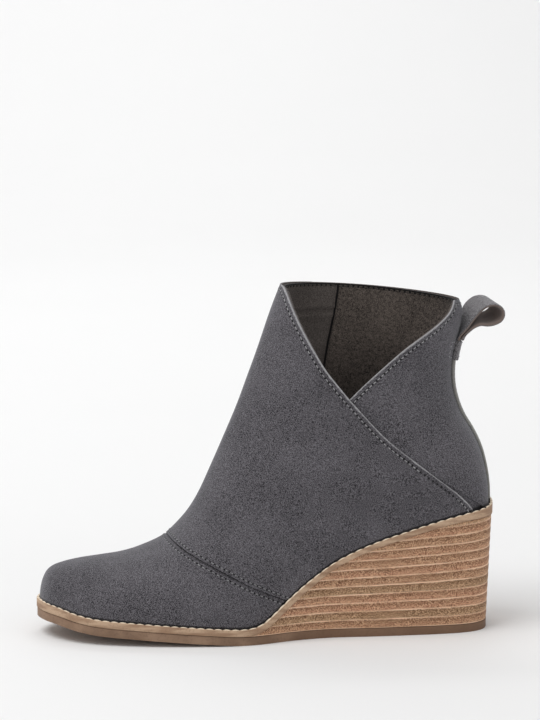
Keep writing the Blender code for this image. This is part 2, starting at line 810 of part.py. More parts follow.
def back_strip(name, z_low, z_high, width, inside, thin, thickness, columns):
    """A curved strip that follows the back of the upper at a distance from the quarter."""
    first = section_at_back(z_low)
    last = section_at_back(z_high)
    inside_marks = [HEEL_CORNER + m for m in LEG_MARKS if first + 0.05 < HEEL_CORNER + m < last - 0.05]
    marks = [first] + inside_marks + [last]
    rows = len(marks)
    ys = np.linspace(-0.5 * width, 0.5 * width, columns)
    pts = np.array([[back_point(Section(s), y) for y in ys] for s in marks])
    d_row = np.gradient(pts, axis=0)
    d_col = np.gradient(pts, axis=1)
    normal = np.cross(d_col, d_row)
    normal /= np.linalg.norm(normal, axis=2)[..., None]
    if normal[0, columns // 2, 0] < 0:
        normal = -normal
    bm = bmesh.new()
    faces = []
    for near in (True, False):
        thick = 0.0 if near else 1.0
        layer = []
        for i in range(rows):
            depth = inside + thick * (thin + (thickness - thin) * i / (rows - 1))
            layer.append([bm.verts.new(tuple(pts[i, j] + normal[i, j] * depth)) for j in range(columns)])
        faces.append(layer)
    near, out = faces
    for layer in (near, out):
        for i in range(rows - 1):
            for j in range(columns - 1):
                bm.faces.new((layer[i][j], layer[i][j + 1], layer[i + 1][j + 1], layer[i + 1][j]))
    for i in range(rows - 1):
        for j in (0, columns - 1):
            bm.faces.new((near[i][j], near[i + 1][j], out[i + 1][j], out[i][j]))
    for j in range(columns - 1):
        for i in (0, rows - 1):
            bm.faces.new((near[i][j], near[i][j + 1], out[i][j + 1], out[i][j]))
    return body(name, bm)


def build_backstay():
    low = HEEL_HEIGHT + 3 * GAP
    high = PATCH_TOP - PATCH_HEIGHT - GAP
    strip = back_strip("backstay", low, high, BACKSTAY_WIDTH, STRIP_GAP - PANEL_STEP,
                       0.65 * BACKSTAY_THICK, BACKSTAY_THICK, 5)
    material(strip, (0.10, 0.10, 0.105), 0.9)
    return strip


def build_patch():
    patch = back_strip("loop_patch", PATCH_TOP - PATCH_HEIGHT, PATCH_TOP, STRAP_WIDTH,
                       STRIP_GAP - PANEL_STEP, PATCH_THICK, PATCH_THICK, 9)
    material(patch, (0.09, 0.09, 0.095), 0.9)
    return patch


def build_loop():
    rows = 33
    columns = 7
    path = Path(spline(np.stack([column(LOOP_COLUMNS, LOOP, "out"), column(LOOP_COLUMNS, LOOP, "up")], axis=1)
                       * np.array([LOOP_REACH, LOOP_RISE])))
    base = Section(section_at_back(PATCH_TOP))
    centre = back_point(base, 0.0)
    start = centre[0] + LOOP_SEAT - PANEL_STEP + 0.5 * STRAP_THICK
    bm = bmesh.new()
    grid = []
    for i in range(rows):
        share = i / (rows - 1)
        out, up = path.at(share)
        lifted = up / LOOP_RISE
        bend = float(1.0 - ease(lifted, 0.0, 0.45))
        row = []
        for y in np.linspace(-0.5 * STRAP_WIDTH, 0.5 * STRAP_WIDTH, columns):
            wrap, climb = (centre - back_point(base, y))[[0, 2]] * bend
            skew = y / STRAP_WIDTH * float(ease(lifted, 0.0, 0.9))
            x = start + out - wrap + skew * LOOP_SKEW_OUT * LOOP_REACH
            z = PATCH_TOP + LOOP_SEAT - climb + up + skew * LOOP_SKEW_UP * LOOP_RISE
            row.append(bm.verts.new((x, y, z)))
        grid.append(row)
    for low, high in zip(grid[:-1], grid[1:]):
        for j in range(columns - 1):
            bm.faces.new((low[j], low[j + 1], high[j + 1], high[j]))
    bm.normal_update()
    loop = sheet("pull_loop", bm, SHOE)
    thicken(loop, STRAP_THICK, 0.0)
    material(loop, (0.09, 0.09, 0.095), 0.9)
    return loop


def centre_on_floor(objects):
    """Move every piece so that the middle of the whole shoe's box stands at the origin."""
    graph = bpy.context.evaluated_depsgraph_get()
    low = np.full(3, np.inf)
    high = np.full(3, -np.inf)
    for obj in objects:
        mesh = obj.evaluated_get(graph).to_mesh()
        co = np.array([v.co[:] for v in mesh.vertices])
        low = np.minimum(low, co.min(axis=0))
        high = np.maximum(high, co.max(axis=0))
        obj.evaluated_get(graph).to_mesh_clear()
    shift = (-0.5 * (low[0] + high[0]), -0.5 * (low[1] + high[1]), -low[2])
    for obj in list(SHOE.objects) + list(CUTTERS.objects):
        for v in obj.data.vertices:
            v.co = (v.co[0] + shift[0], v.co[1] + shift[1], v.co[2] + shift[2])
    return shift


for old in list(bpy.data.objects):
    bpy.data.objects.remove(old, do_unlink=True)
SHOE = bpy.data.collections.new("ankle_boot")
CUTTERS = bpy.data.collections.new("ankle_boot_cutters")
bpy.context.scene.collection.children.link(SHOE)
bpy.context.scene.collection.children.link(CUTTERS)

PIECES = [
    build_outsole(),
    build_wedge(),
    build_midsole(),
    build_insole(),
    build_upper(),
    build_backstay(),
    build_patch(),
    build_loop(),
]
SHIFT = centre_on_floor(PIECES)
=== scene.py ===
# %% [markdown]
# # A suede ankle boot on a stacked wedge
# This lesson dresses a plain model of a left ankle boot. The plain model gives the sizes and the place
# of every part. Here each part gets the form and the finish that a shoemaker would give it.

# %% Load the plain model
import bmesh
import bpy
import numpy as np
from mathutils import Matrix, Vector
from mathutils.bvhtree import BVHTree
from mathutils.kdtree import KDTree


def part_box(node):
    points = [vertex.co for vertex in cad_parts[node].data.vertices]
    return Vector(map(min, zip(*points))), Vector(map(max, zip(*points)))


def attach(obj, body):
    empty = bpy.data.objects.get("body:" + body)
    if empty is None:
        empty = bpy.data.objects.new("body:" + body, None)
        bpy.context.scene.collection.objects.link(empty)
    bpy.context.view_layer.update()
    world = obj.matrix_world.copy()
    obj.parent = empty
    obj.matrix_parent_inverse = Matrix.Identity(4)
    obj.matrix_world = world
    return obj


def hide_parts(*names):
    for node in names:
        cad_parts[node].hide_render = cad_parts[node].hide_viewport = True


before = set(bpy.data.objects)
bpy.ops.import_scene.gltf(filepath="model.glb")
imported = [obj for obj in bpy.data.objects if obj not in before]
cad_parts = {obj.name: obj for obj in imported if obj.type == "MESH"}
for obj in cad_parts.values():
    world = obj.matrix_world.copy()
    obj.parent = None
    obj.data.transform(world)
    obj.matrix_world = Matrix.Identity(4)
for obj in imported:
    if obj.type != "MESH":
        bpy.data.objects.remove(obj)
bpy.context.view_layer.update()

MM = 0.001

# %% [markdown]
# ## The last
# A shoe is built round a last, a solid form of the foot. The same few tables describe it here, so every
# panel can be cut as a patch of one smooth face. It could be traced from the plain model instead, but
# that one is made of flat facets, and suede has to be smooth. All sizes are in metres, and the shares
# are parts of the shoe's length, its width or its height.

# %% Sizes of the last
RAND_LOW, RAND_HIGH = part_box("midsole")
LENGTH = RAND_HIGH[0] - RAND_LOW[0]
BALL_WIDTH = 0.084
HEEL_WIDTH = 0.063
COLLAR_WIDTH = 0.064
COLLAR_FRONT = 0.1887
COLLAR_BACK = 0.1808
HEEL_HEIGHT = 0.0695
TOE_SPRING = 0.0094
OUTSOLE_THICK = 0.0045
RAND_THICK = 0.0036
LAYER = 0.0049
LEDGE = 0.0016
GAP = 0.0003
HEEL_TAPER = 0.0020
MARGIN = 0.0057
OUTLINE = (
    (0.000, -0.048, 0.048), (0.010, 0.077, 0.155), (0.030, 0.179, 0.244), (0.060, 0.268, 0.321),
    (0.100, 0.339, 0.381), (0.160, 0.402, 0.435), (0.220, 0.444, 0.470), (0.280, 0.471, 0.488),
    (0.340, 0.488, 0.488), (0.400, 0.494, 0.462), (0.460, 0.492, 0.430), (0.540, 0.478, 0.411),
    (0.630, 0.493, 0.432), (0.720, 0.505, 0.452), (0.790, 0.502, 0.468), (0.860, 0.492, 0.476),
    (0.920, 0.465, 0.452), (0.960, 0.402, 0.394), (0.985, 0.289, 0.283), (1.000, 0.000, 0.000),
)
SOLE = (
    (0.000, 1.00, 1.35, 0.000), (0.030, 0.96, 1.22, 0.000), (0.080, 0.70, 1.06, 0.000),
    (0.120, 0.55, 1.00, 0.000), (0.200, 0.42, 1.00, 0.000), (0.280, 0.27, 1.00, 0.000),
    (0.360, 0.12, 0.98, 0.000), (0.420, 0.02, 0.98, 0.000), (0.447, 0.00, 1.00, 0.008),
    (0.472, 0.00, 1.05, 0.043), (0.488, 0.00, 1.15, 0.089), (0.520, 0.00, 1.15, 0.201),
    (0.552, 0.00, 1.10, 0.313), (0.592, 0.00, 1.00, 0.437), (0.624, 0.00, 0.88, 0.526),
    (0.680, 0.00, 0.84, 0.645), (0.732, 0.00, 0.84, 0.730), (0.784, 0.00, 0.84, 0.797),
    (0.836, 0.00, 0.86, 0.861), (0.884, 0.00, 0.92, 0.912), (0.940, 0.00, 1.15, 0.959),
    (1.000, 0.00, 1.70, 1.000),
)
FRONT = (
    (0.0064, 0.000), (0.0096, 0.036), (0.0150, 0.063), (0.0240, 0.086), (0.0370, 0.100),
    (0.0580, 0.110), (0.0940, 0.1205), (0.1410, 0.1295), (0.1860, 0.1385), (0.2250, 0.1545),
    (0.2620, 0.179), (0.2920, 0.2115), (0.3185, 0.257), (0.3485, 0.324), (0.3785, 0.424),
    (0.4212, 0.571), (0.4642, 0.739), (0.5065, 0.922), (0.5270, 1.000),
)
BACK = (
    (0.9915, 0.000), (0.9895, 0.090), (0.9830, 0.182), (0.9730, 0.268), (0.9555, 0.350),
    (0.9332, 0.431), (0.9190, 0.508), (0.9110, 0.590), (0.9110, 0.690), (0.9205, 0.798),
    (0.9298, 0.900), (0.9302, 0.955), (0.9225, 1.000),
)
SECTION_COLUMNS = ("front", "foot", "collar", "outer", "inner", "widest", "nose", "tail")
SECTIONS = np.array((
    (0.000, 0.000, 0.00, 0.000, 0.000, 0.82, 2.20, 2.6), (0.050, 0.011, 0.00, 0.008, 0.008, 0.80, 2.20, 2.6),
    (0.091, 0.030, 0.00, 0.012, 0.012, 0.78, 2.20, 2.6), (0.137, 0.065, 0.00, 0.014, 0.014, 0.76, 2.20, 2.5),
    (0.207, 0.129, 0.00, 0.016, 0.016, 0.74, 2.10, 2.4), (0.282, 0.209, 0.00, 0.016, 0.016, 0.73, 2.05, 2.3),
    (0.352, 0.292, 0.00, 0.014, 0.014, 0.73, 2.00, 2.2), (0.414, 0.368, 0.00, 0.010, 0.010, 0.75, 1.95, 2.2),
    (0.468, 0.429, 0.00, 0.008, 0.008, 0.76, 1.90, 2.2), (0.522, 0.486, 0.00, 0.006, 0.010, 0.76, 1.90, 2.2),
    (0.580, 0.554, 0.00, 0.006, 0.014, 0.75, 1.90, 2.2), (0.638, 0.638, 0.00, 0.006, 0.016, 0.70, 1.95, 2.3),
    (0.692, 0.736, 0.00, 0.006, 0.014, 0.64, 2.00, 2.6), (0.737, 0.842, 0.10, 0.008, 0.012, 0.58, 2.00, 2.9),
    (0.775, 0.934, 0.20, 0.010, 0.010, 0.55, 2.00, 3.3), (0.808, 1.000, 0.30, 0.010, 0.010, 0.53, 2.00, 3.5),
    (0.841, 1.145, 0.45, 0.006, 0.006, 0.52, 2.00, 3.0), (0.874, 1.306, 0.60, 0.000, 0.000, 0.51, 2.00, 2.3),
    (0.907, 1.484, 0.80, -0.006, -0.006, 0.50, 2.00, 2.1), (0.940, 1.661, 0.90, -0.006, -0.006, 0.50, 2.00, 2.0),
    (0.969, 1.830, 1.00, 0.000, 0.000, 0.50, 2.00, 1.9), (1.000, 2.000, 1.00, 0.006, 0.006, 0.50, 2.00, 1.9),
))
HEEL_CORNER = 15
LAST_SECTION = len(SECTIONS) - 1.0
print("last with", len(SECTIONS), "sections, length in mm:", round(LENGTH / MM, 1))

# %% [markdown]
# ## Smooth lines from few points
# A table gives only a few points. A monotone cubic passes through them without overshooting, and a
# centripetal spline does the same for lines in the plane. Both work on whole arrays at once, because
# thousands of points are placed in a moment.

# %% Helpers for smooth lines


def cubic(rows, x, col=1):
    """Monotone cubic through a table's first column and another one."""
    xs = np.array([r[0] for r in rows])
    ys = np.array([r[col] for r in rows])
    h = np.diff(xs)
    d = np.diff(ys) / h
    m = np.zeros(len(xs))
    m[0] = d[0]
    m[-1] = d[-1]
    for i in range(1, len(xs) - 1):
        if d[i - 1] * d[i] > 0:
            w1 = 2 * h[i] + h[i - 1]
            w2 = h[i] + 2 * h[i - 1]
            m[i] = (w1 + w2) / (w1 / d[i - 1] + w2 / d[i])
    x = np.clip(np.asarray(x, dtype=float), xs[0], xs[-1])
    k = np.clip(np.searchsorted(xs, x, side="right") - 1, 0, len(h) - 1)
    t = (x - xs[k]) / h[k]
    low = (2 * t ** 3 - 3 * t ** 2 + 1) * ys[k] + (t ** 3 - 2 * t ** 2 + t) * h[k] * m[k]
    return low + (3 * t ** 2 - 2 * t ** 3) * ys[k + 1] + (t ** 3 - t ** 2) * h[k] * m[k + 1]


def spline(points, closed=False, per=12):
    """Centripetal curve through the points, as a dense polyline."""
    p = np.asarray(points, dtype=float)
    p = np.vstack([p[-1:], p, p[:2]]) if closed else np.vstack([2 * p[0] - p[1], p, 2 * p[-1] - p[-2]])
    out = []
    for i in range(1, len(p) - 2):
        k = [0.0]
        for j in range(3):
            k.append(k[-1] + max(np.linalg.norm(p[i + j] - p[i + j - 1]), 1e-9) ** 0.5)
        for q in range(per):
            t = k[1] + (k[2] - k[1]) * q / per
            a1 = ((k[1] - t) * p[i - 1] + t * p[i]) / k[1]
            a2 = ((k[2] - t) * p[i] + (t - k[1]) * p[i + 1]) / (k[2] - k[1])
            a3 = ((k[3] - t) * p[i + 1] + (t - k[2]) * p[i + 2]) / (k[3] - k[2])
            b1 = ((k[2] - t) * a1 + t * a2) / k[2]
            b2 = ((k[3] - t) * a2 + (t - k[1]) * a3) / (k[3] - k[1])
            out.append(((k[2] - t) * b1 + (t - k[1]) * b2) / (k[2] - k[1]))
    if not closed:
        out.append(p[-2])
    return np.array(out)


def along(points, share):
    """Points at shares of a polyline's length."""
    points = np.asarray(points)
    run = np.concatenate([[0.0], np.cumsum(np.linalg.norm(np.diff(points, axis=0), axis=1))])
    share = np.clip(share, 0.0, 1.0) * run[-1]
    return np.stack([np.interp(share, run, c) for c in points.T], axis=-1)


def ease(x, low, high):
    t = np.clip((np.asarray(x, dtype=float) - low) / (high - low), 0.0, 1.0)
    return t * t * (3 - 2 * t)


# %% [markdown]
# ## Heights and outline of the sole
# The sole lifts at the toe, runs flat under the ball and climbs over the wedge. These functions give the
# height of each level at a place along the shoe, and the sole's edge seen from above.

# %% Heights and outline


def ground(x):
    return TOE_SPRING * cubic(SOLE, x / LENGTH, 1)


def outsole_top(x):
    return ground(x) + OUTSOLE_THICK


def feather(x):
    """Top of the rand, where the upper starts."""
    rand = np.where(np.asarray(x) < 0.45 * LENGTH, cubic(SOLE, x / LENGTH, 2), 1.0)
    lift = HEEL_HEIGHT - OUTSOLE_THICK - GAP - RAND_THICK
    return outsole_top(x) + GAP + RAND_THICK * rand + lift * cubic(SOLE, x / LENGTH, 3)


def rand_under(x):
    return np.maximum(outsole_top(x) + GAP, feather(x) - RAND_THICK * cubic(SOLE, x / LENGTH, 2))


shares = np.array([r[0] for r in OUTLINE])
widths = BALL_WIDTH + (HEEL_WIDTH - BALL_WIDTH) * ease(shares, 0.40, 0.66)
outer_side = [(LENGTH * a, -w * r[1]) for a, w, r in zip(shares, widths, OUTLINE)]
inner_side = [(LENGTH * a, w * r[2]) for a, w, r in zip(shares, widths, OUTLINE)][1:-1]
OUTLINE_CURVE = spline(outer_side + inner_side[::-1], closed=True)
OUTLINE_INWARD = np.roll(OUTLINE_CURVE, -1, axis=0) - np.roll(OUTLINE_CURVE, 1, axis=0)
OUTLINE_INWARD = np.stack([-OUTLINE_INWARD[:, 1], OUTLINE_INWARD[:, 0]], axis=1)
OUTLINE_INWARD /= np.linalg.norm(OUTLINE_INWARD, axis=1)[:, None]


def outline(inset):
    """The sole's edge moved in, as its outer and its inner side from toe to heel."""
    q = OUTLINE_CURVE + OUTLINE_INWARD * inset
    q = np.roll(q, -int(np.argmin(q[:, 0])), axis=0)
    heel = int(np.argmax(q[:, 0]))
    return q[:heel + 1], np.vstack([q[heel:], q[:1]])[::-1]


def side_y(side, x, inset):
    p = outline(inset)[0 if side < 0 else 1]
    return np.interp(x, np.maximum.accumulate(p[:, 0]), p[:, 1])


SHIFT = Vector((RAND_LOW[0], -0.5 * (OUTLINE_CURVE[:, 1].min() + OUTLINE_CURVE[:, 1].max()), 0.0))
print("the last moves by, mm:", [round(c / MM, 3) for c in SHIFT])

# %% [markdown]
# ## The face of the last
# Each section is a flat slice that starts on the front line and ends under the foot or on the back.
# Two numbers name every point: s counts the sections from toe to collar, and a runs from -1 at the
# outer far end over 0 on the front line to 1 at the inner far end. Past -1 it goes on round the back.

# %% The face of the last
START = outline(LEDGE)[0][0, 0]
END = outline(LEDGE)[0][-1, 0]


def front_line():
    base = float(feather(0.0))
    p = spline([(LENGTH * a, base + (COLLAR_FRONT - base) * r) for a, r in FRONT])
    end = p[-1] + (p[-1] - p[-2]) / np.linalg.norm(p[-1] - p[-2]) * MARGIN
    return np.vstack([[(p[0, 0], p[0, 1] - MARGIN)], p, [end]])


def foot_line():
    t = np.linspace(0, 1, 200) ** 2
    x = np.sort(np.concatenate([np.linspace(START, END, 90), START + (END - START) * t, END - (END - START) * t]))
    return np.stack([x, feather(x) - MARGIN], axis=1)


def back_line():
    base = float(feather(LENGTH))
    p = spline([(LENGTH * a, base + (COLLAR_BACK - base) * r) for a, r in BACK])
    top = p[-1] + (p[-1] - p[-2]) / np.linalg.norm(p[-1] - p[-2]) * MARGIN
    return np.vstack([[(END, float(feather(END)) - MARGIN)], p, [top]])


FRONT_LINE = front_line()
FOOT_LINE = foot_line()
BACK_LINE = back_line()
SECTION_ROWS = [(float(i),) + tuple(row) for i, row in enumerate(SECTIONS)]


def section_values(s):
    v = {name: cubic(SECTION_ROWS, s, i + 1) for i, name in enumerate(SECTION_COLUMNS)}
    v["top"] = along(FRONT_LINE, v["front"])
    v["low"] = np.where((v["foot"] <= 1.0)[..., None], along(FOOT_LINE, v["foot"]),
                        along(BACK_LINE, v["foot"] - 1.0))
    v["power"] = 1.0 + (2.0 / v["tail"] - 1.0) * ease(s, HEEL_CORNER - 2, HEEL_CORNER)
    return v


def face(s, a):
    """Points of the last's face, before the shoe is centred."""
    s, a = np.broadcast_arrays(np.asarray(s, dtype=float), np.asarray(a, dtype=float))
    a = np.where(a < -1.0, a + 2.0, a)
    v = section_values(s)
    t = np.abs(a)
    side = np.where(a < 0, -1.0, 1.0)
    w = v["widest"]
    bend = np.sin(0.5 * np.pi * np.clip(2 * t - 1, 0.0, 1.0)) ** v["power"]
    share = np.where(t < 0.5, w * (1.0 - np.cos(np.pi * np.minimum(t, 0.5))), w + (1.0 - w) * bend)
    flat = v["top"] + (v["low"] - v["top"]) * share[..., None]
    x = v["low"][..., 0]
    closed = s >= HEEL_CORNER
    halves = []
    for sign in (-1, 1):
        seat = np.abs(side_y(sign, np.minimum(x, 0.86 * LENGTH), LEDGE))
        seat = np.where(x < 0.1 * LENGTH, sign * side_y(sign, x, LEDGE), seat)
        half = seat + (0.5 * COLLAR_WIDTH - seat) * v["collar"]
        half += HEEL_WIDTH * v["outer" if sign < 0 else "inner"]
        end = np.where(closed, 0.0, sign * side_y(sign, x, LEDGE))
        ridge = sign * OUTLINE_CURVE[0, 1] * (1.0 - ease(v["top"][..., 0] / LENGTH, 0.0, 0.45))
        u = 1.0 - np.minimum(share / w, 1.0)
        near = ridge + (half - ridge) * np.maximum(1.0 - u ** v["nose"], 0.0) ** (1.0 / v["nose"])
        u = np.clip((share - w) / (1.0 - w), 0.0, 1.0)
        power = 1.0 + (1.0 / v["tail"] - 1.0) * (half - end) / half
        far = end + (half - end) * np.maximum(1.0 - u ** v["tail"], 0.0) ** power
        halves.append(sign * np.where(share <= w, near, far))
    y = np.where(side < 0, halves[0], halves[1])
    return np.stack([flat[..., 0], y, flat[..., 1]], axis=-1)


def outward(s, a):
    """Direction away from the last at a point of its face."""
    step = 0.02
    ds = face(np.minimum(s + step, LAST_SECTION), a) - face(np.maximum(s - step, 0.0), a)
    da = face(s, a + step) - face(s, a - step)
    n = np.cross(ds, da)
    return n / np.maximum(np.linalg.norm(n, axis=-1), 1e-12)[..., None]


probe = BVHTree.FromObject(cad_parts["upper"], bpy.context.evaluated_depsgraph_get())
test_s, test_a = np.meshgrid(np.linspace(4, 19, 20), np.linspace(-0.7, -0.05, 10))
gaps = [probe.find_nearest(Vector(p) + SHIFT)[3] / MM for p in face(test_s, test_a).reshape(-1, 3)]
print("outer face of the last against the plain upper, mm: middle", round(float(np.median(gaps)), 2))

# %% [markdown]
# ## Lines drawn on the last
# A pattern maker draws the panel edges on the last. In side view each line is a row of points, and the
# next function finds their s and a, so that a line becomes an edge that a panel can follow.

# %% Lines of the panels
V_FRONT = ((0.5180, 1.035), (0.5286, 0.998), (0.5427, 0.938), (0.5615, 0.880), (0.5854, 0.821),
           (0.6095, 0.769), (0.6340, 0.728), (0.6590, 0.688))
V_BACK = ((0.6590, 0.688), (0.6928, 0.733), (0.7352, 0.783), (0.7794, 0.829), (0.8251, 0.867),
          (0.8609, 0.897), (0.8860, 0.926), (0.8985, 0.954), (0.9060, 0.985), (0.9110, 1.035))
DIAGONAL = ((0.6590, 0.688), (0.7411, 0.573), (0.8199, 0.490), (0.8561, 0.455), (0.8880, 0.423),
            (0.9121, 0.396), (0.9353, 0.361), (0.9560, 0.300))
INNER_SEAM = ((0.600, 1.030), (0.650, 0.880), (0.720, 0.700), (0.820, 0.505), (0.910, 0.398), (0.955, 0.300))
LINING_SEAM = ((0.672, 1.030), (0.670, 0.964), (0.666, 0.925), (0.661, 0.888), (0.655, 0.850), (0.648, 0.810),
               (0.641, 0.760), (0.635, 0.700), (0.634, 0.600), (0.645, 0.420), (0.655, 0.250))
TOE_SEAM = ((0.2784, 0.2830), (0.3032, 0.2623), (0.3428, 0.2348), (0.3924, 0.2008), (0.4480, 0.1616),
            (0.5316, 0.1113))
TABLE_S = np.linspace(0.0, LAST_SECTION, 2101)
TABLE = section_values(TABLE_S)


def to_last(rows, per=16):
    """The s and a, both positive, of a side view line."""
    p = spline([(LENGTH * x, COLLAR_FRONT * z) for x, z in rows], per=per)
    across = TABLE["low"] - TABLE["top"]
    found = []
    for q in p:
        d = q - TABLE["top"]
        turn = across[:, 0] * d[:, 1] - across[:, 1] * d[:, 0]
        share = (d * across).sum(axis=1) / (across ** 2).sum(axis=1)
        hits = np.nonzero((turn[:-1] * turn[1:] <= 0) & (share[:-1] > -0.02) & (share[:-1] < 1.04))[0]
        if not len(hits):
            continue
        i = hits[0]
        mix = turn[i] / (turn[i] - turn[i + 1]) if turn[i] != turn[i + 1] else 0.0
        s = TABLE_S[i] + mix * (TABLE_S[i + 1] - TABLE_S[i])
        f = float(np.clip(share[i] + mix * (share[i + 1] - share[i]), 0.0, 1.0))
        w = float(TABLE["widest"][i])
        if f < w:
            a = np.arccos(1.0 - f / w) / np.pi
        else:
            a = 0.5 + np.arcsin(((f - w) / (1.0 - w)) ** (1.0 / float(TABLE["power"][i]))) / np.pi
        found.append((s, a))
    return np.array(found)


def by_section(line):
    """A line as a function that gives a at s."""
    order = np.argsort(line[:, 0])
    return lambda s: np.interp(s, line[order, 0], line[order, 1])


v_front = to_last(V_FRONT)
v_back = to_last(V_BACK)
diagonal = to_last(DIAGONAL)
inner_seam = to_last(INNER_SEAM)
lining_seam = to_last(LINING_SEAM)
toe_seam = to_last(TOE_SEAM)
V_BOTTOM = float(v_front[-1, 0])
front_edge = by_section(np.vstack([diagonal[::-1], v_front[-2::-1]]))
diagonal_at = by_section(diagonal)
v_back_at = by_section(v_back)
inner_at = by_section(inner_seam)
lining_at = by_section(lining_seam)
for name, line in (("V front", v_front), ("V back", v_back), ("diagonal", diagonal), ("inner seam", inner_seam),
                   ("lining seam", lining_seam), ("toe seam", toe_seam)):
    print(name, "from", line[0].round(2), "to", line[-1].round(2), "of", len(line))

# %% [markdown]
# ## Where a panel starts and stops
# Downwards every panel ends a little under the top of the rand, and upwards the shaft ends at the flat
# cut of the collar. Both lines are found by halving a range until the height fits.

# %% Foot and collar lines
FRONT_TOP = (LENGTH * FRONT[-1][0], COLLAR_FRONT)
BACK_TOP = (LENGTH * BACK[-1][0], COLLAR_BACK)
SLOPE = (BACK_TOP[1] - FRONT_TOP[1]) / (BACK_TOP[0] - FRONT_TOP[0])
TUCK = 1.2 * MM


def halve(low, high, test, steps=34):
    """The place where test turns from true to false, for whole arrays."""
    low, high = np.broadcast_arrays(np.asarray(low, dtype=float), np.asarray(high, dtype=float))
    low, high = low.copy(), high.copy()
    for _ in range(steps):
        mid = 0.5 * (low + high)
        keep = test(mid)
        low = np.where(keep, mid, low)
        high = np.where(keep, high, mid)
    return 0.5 * (low + high)


def above_foot(s, a, tuck=TUCK):
    p = face(s, a)
    return p[..., 2] > feather(p[..., 0]) - tuck


def under_collar(p, drop=0.0):
    return p[..., 2] < COLLAR_FRONT - drop + SLOPE * (p[..., 0] - FRONT_TOP[0])


FOOT_S = np.linspace(0.0, 17.0, 341)
FOOT_A = {side: halve(np.zeros(341), np.ones(341), lambda a, n=side: above_foot(FOOT_S, n * a)) for side in (-1, 1)}
TOE_START = float(halve(0.0, 2.0, lambda s: ~above_foot(s, 0.0)))


def foot(side, s):
    """How far down the face goes on one side of section s."""
    return np.interp(s, FOOT_S, FOOT_A[side])


def back_foot(a):
    """The section whose far end stands on the rand at the heel, or its like at a."""
    return halve(11.0, 17.0, lambda s: ~above_foot(s, a))


print("the toe starts at section", round(TOE_START, 2), "and the back at", round(float(back_foot(-1.0)), 2))

# %% [markdown]
# ## A panel of suede
# A flat grid is laid on the last like a piece of leather on a form. The grid's left and right edges
# follow two lines, and its rows run from the start to the end of each column. Then the sheet is
# extruded to its thickness and the cut edge is bevelled, so that it catches the light.

# %% Helpers for panels


def laid_grid(columns, rows, place):
    """A grid whose points, from 0 to 1 both ways, move where place puts them."""
    bm = bmesh.new()
    bmesh.ops.create_grid(bm, x_segments=columns, y_segments=rows, size=1.0)
    co = np.array([v.co[:] for v in bm.verts])
    for v, p in zip(bm.verts, place(0.5 + 0.5 * co[:, 0], 0.5 + 0.5 * co[:, 1])):
        v.co = p
    bmesh.ops.remove_doubles(bm, verts=bm.verts, dist=1e-6)
    bmesh.ops.dissolve_degenerate(bm, edges=bm.edges, dist=1e-7)
    return bm


def give_thickness(bm, inner, outer, bevel=0.0, segments=3):
    """Extrudes an open sheet from its inner to its outer place and rounds its outer rim. The mark
    "under" is 1 on the inner face, where leather shows its flesh side."""
    store = bm.verts.layers.float_vector.new("outer_place")
    under = bm.verts.layers.float.new("under")
    for v, p, q in zip(list(bm.verts), inner, outer):
        v.co = p
        v[store] = q
        v[under] = 1.0
    made = bmesh.ops.extrude_face_region(bm, geom=bm.faces[:])["geom"]
    for v in made:
        if isinstance(v, bmesh.types.BMVert):
            v.co = v[store]
            v[under] = 0.0
    top = {f for f in made if isinstance(f, bmesh.types.BMFace)}
    bm.verts.layers.float_vector.remove(bm.verts.layers.float_vector["outer_place"])
    bmesh.ops.recalc_face_normals(bm, faces=bm.faces)
    if bevel:
        rim = [e for e in bm.edges if len(e.link_faces) == 2 and (e.link_faces[0] in top) != (e.link_faces[1] in top)]
        bmesh.ops.bevel(bm, geom=rim, offset=bevel, offset_type="OFFSET", segments=segments, profile=0.5,
                        affect="EDGES", material=-1, clamp_overlap=True)
    return bm


def sheet_normals(bm, inside=None):
    """A sheet's points and normals. The normals point away from a place inside the shoe."""
    bm.normal_update()
    co = np.array([v.co[:] for v in bm.verts])
    no = np.array([v.normal[:] for v in bm.verts])
    if inside is not None and (no * (co - np.array(inside))).sum() < 0:
        bmesh.ops.reverse_faces(bm, faces=bm.faces)
        no = -no
    return co, no


def mark_edges(bm, curves, pitch):
    """Each curve is a raw cut edge, a sewn one, or a seam without a row of its own. Stores on each point its
    distance to the nearest edge, as a share of that edge's stitch row,
    its place along it, counted in stitches, its distance in mm to the nearest raw cut edge, and its
    height in mm above the rand."""
    edge = bm.verts.layers.float.new("edge")
    run = bm.verts.layers.float.new("run")
    raw = bm.verts.layers.float.new("raw")
    above = bm.verts.layers.float.new("above")
    best = [(9.0, 0.0)] * len(bm.verts)
    cut = [9.0] * len(bm.verts)
    for points, row, kind in curves:
        total = np.linalg.norm(np.diff(points, axis=0), axis=1).sum()
        count = max(int(total / (0.3 * MM)), 2)
        dense = along(points, np.linspace(0, 1, count))
        tangent = np.gradient(dense, axis=0)
        tangent /= np.linalg.norm(tangent, axis=1)[:, None]
        tree = KDTree(count)
        for i, p in enumerate(dense):
            tree.insert(p, i)
        tree.balance()
        for k, v in enumerate(bm.verts):
            p, i, d = tree.find(v.co)
            shift = float(np.dot(np.array(v.co) - dense[i], tangent[i]))
            away = max(d * d - shift * shift, 0.0) ** 0.5
            if away / row < best[k][0]:
                best[k] = (away / row, 0.5 if kind == "seam" else (total * i / (count - 1) + shift) / pitch)
            if kind == "raw":
                cut[k] = min(cut[k], away / MM)
    co = np.array([v.co[:] for v in bm.verts])
    height = (co[:, 2] - feather(co[:, 0])) / MM
    for v, (near, place), away, h in zip(bm.verts, best, cut, height):
        v[edge] = near
        v[run] = place
        v[raw] = away
        v[above] = h


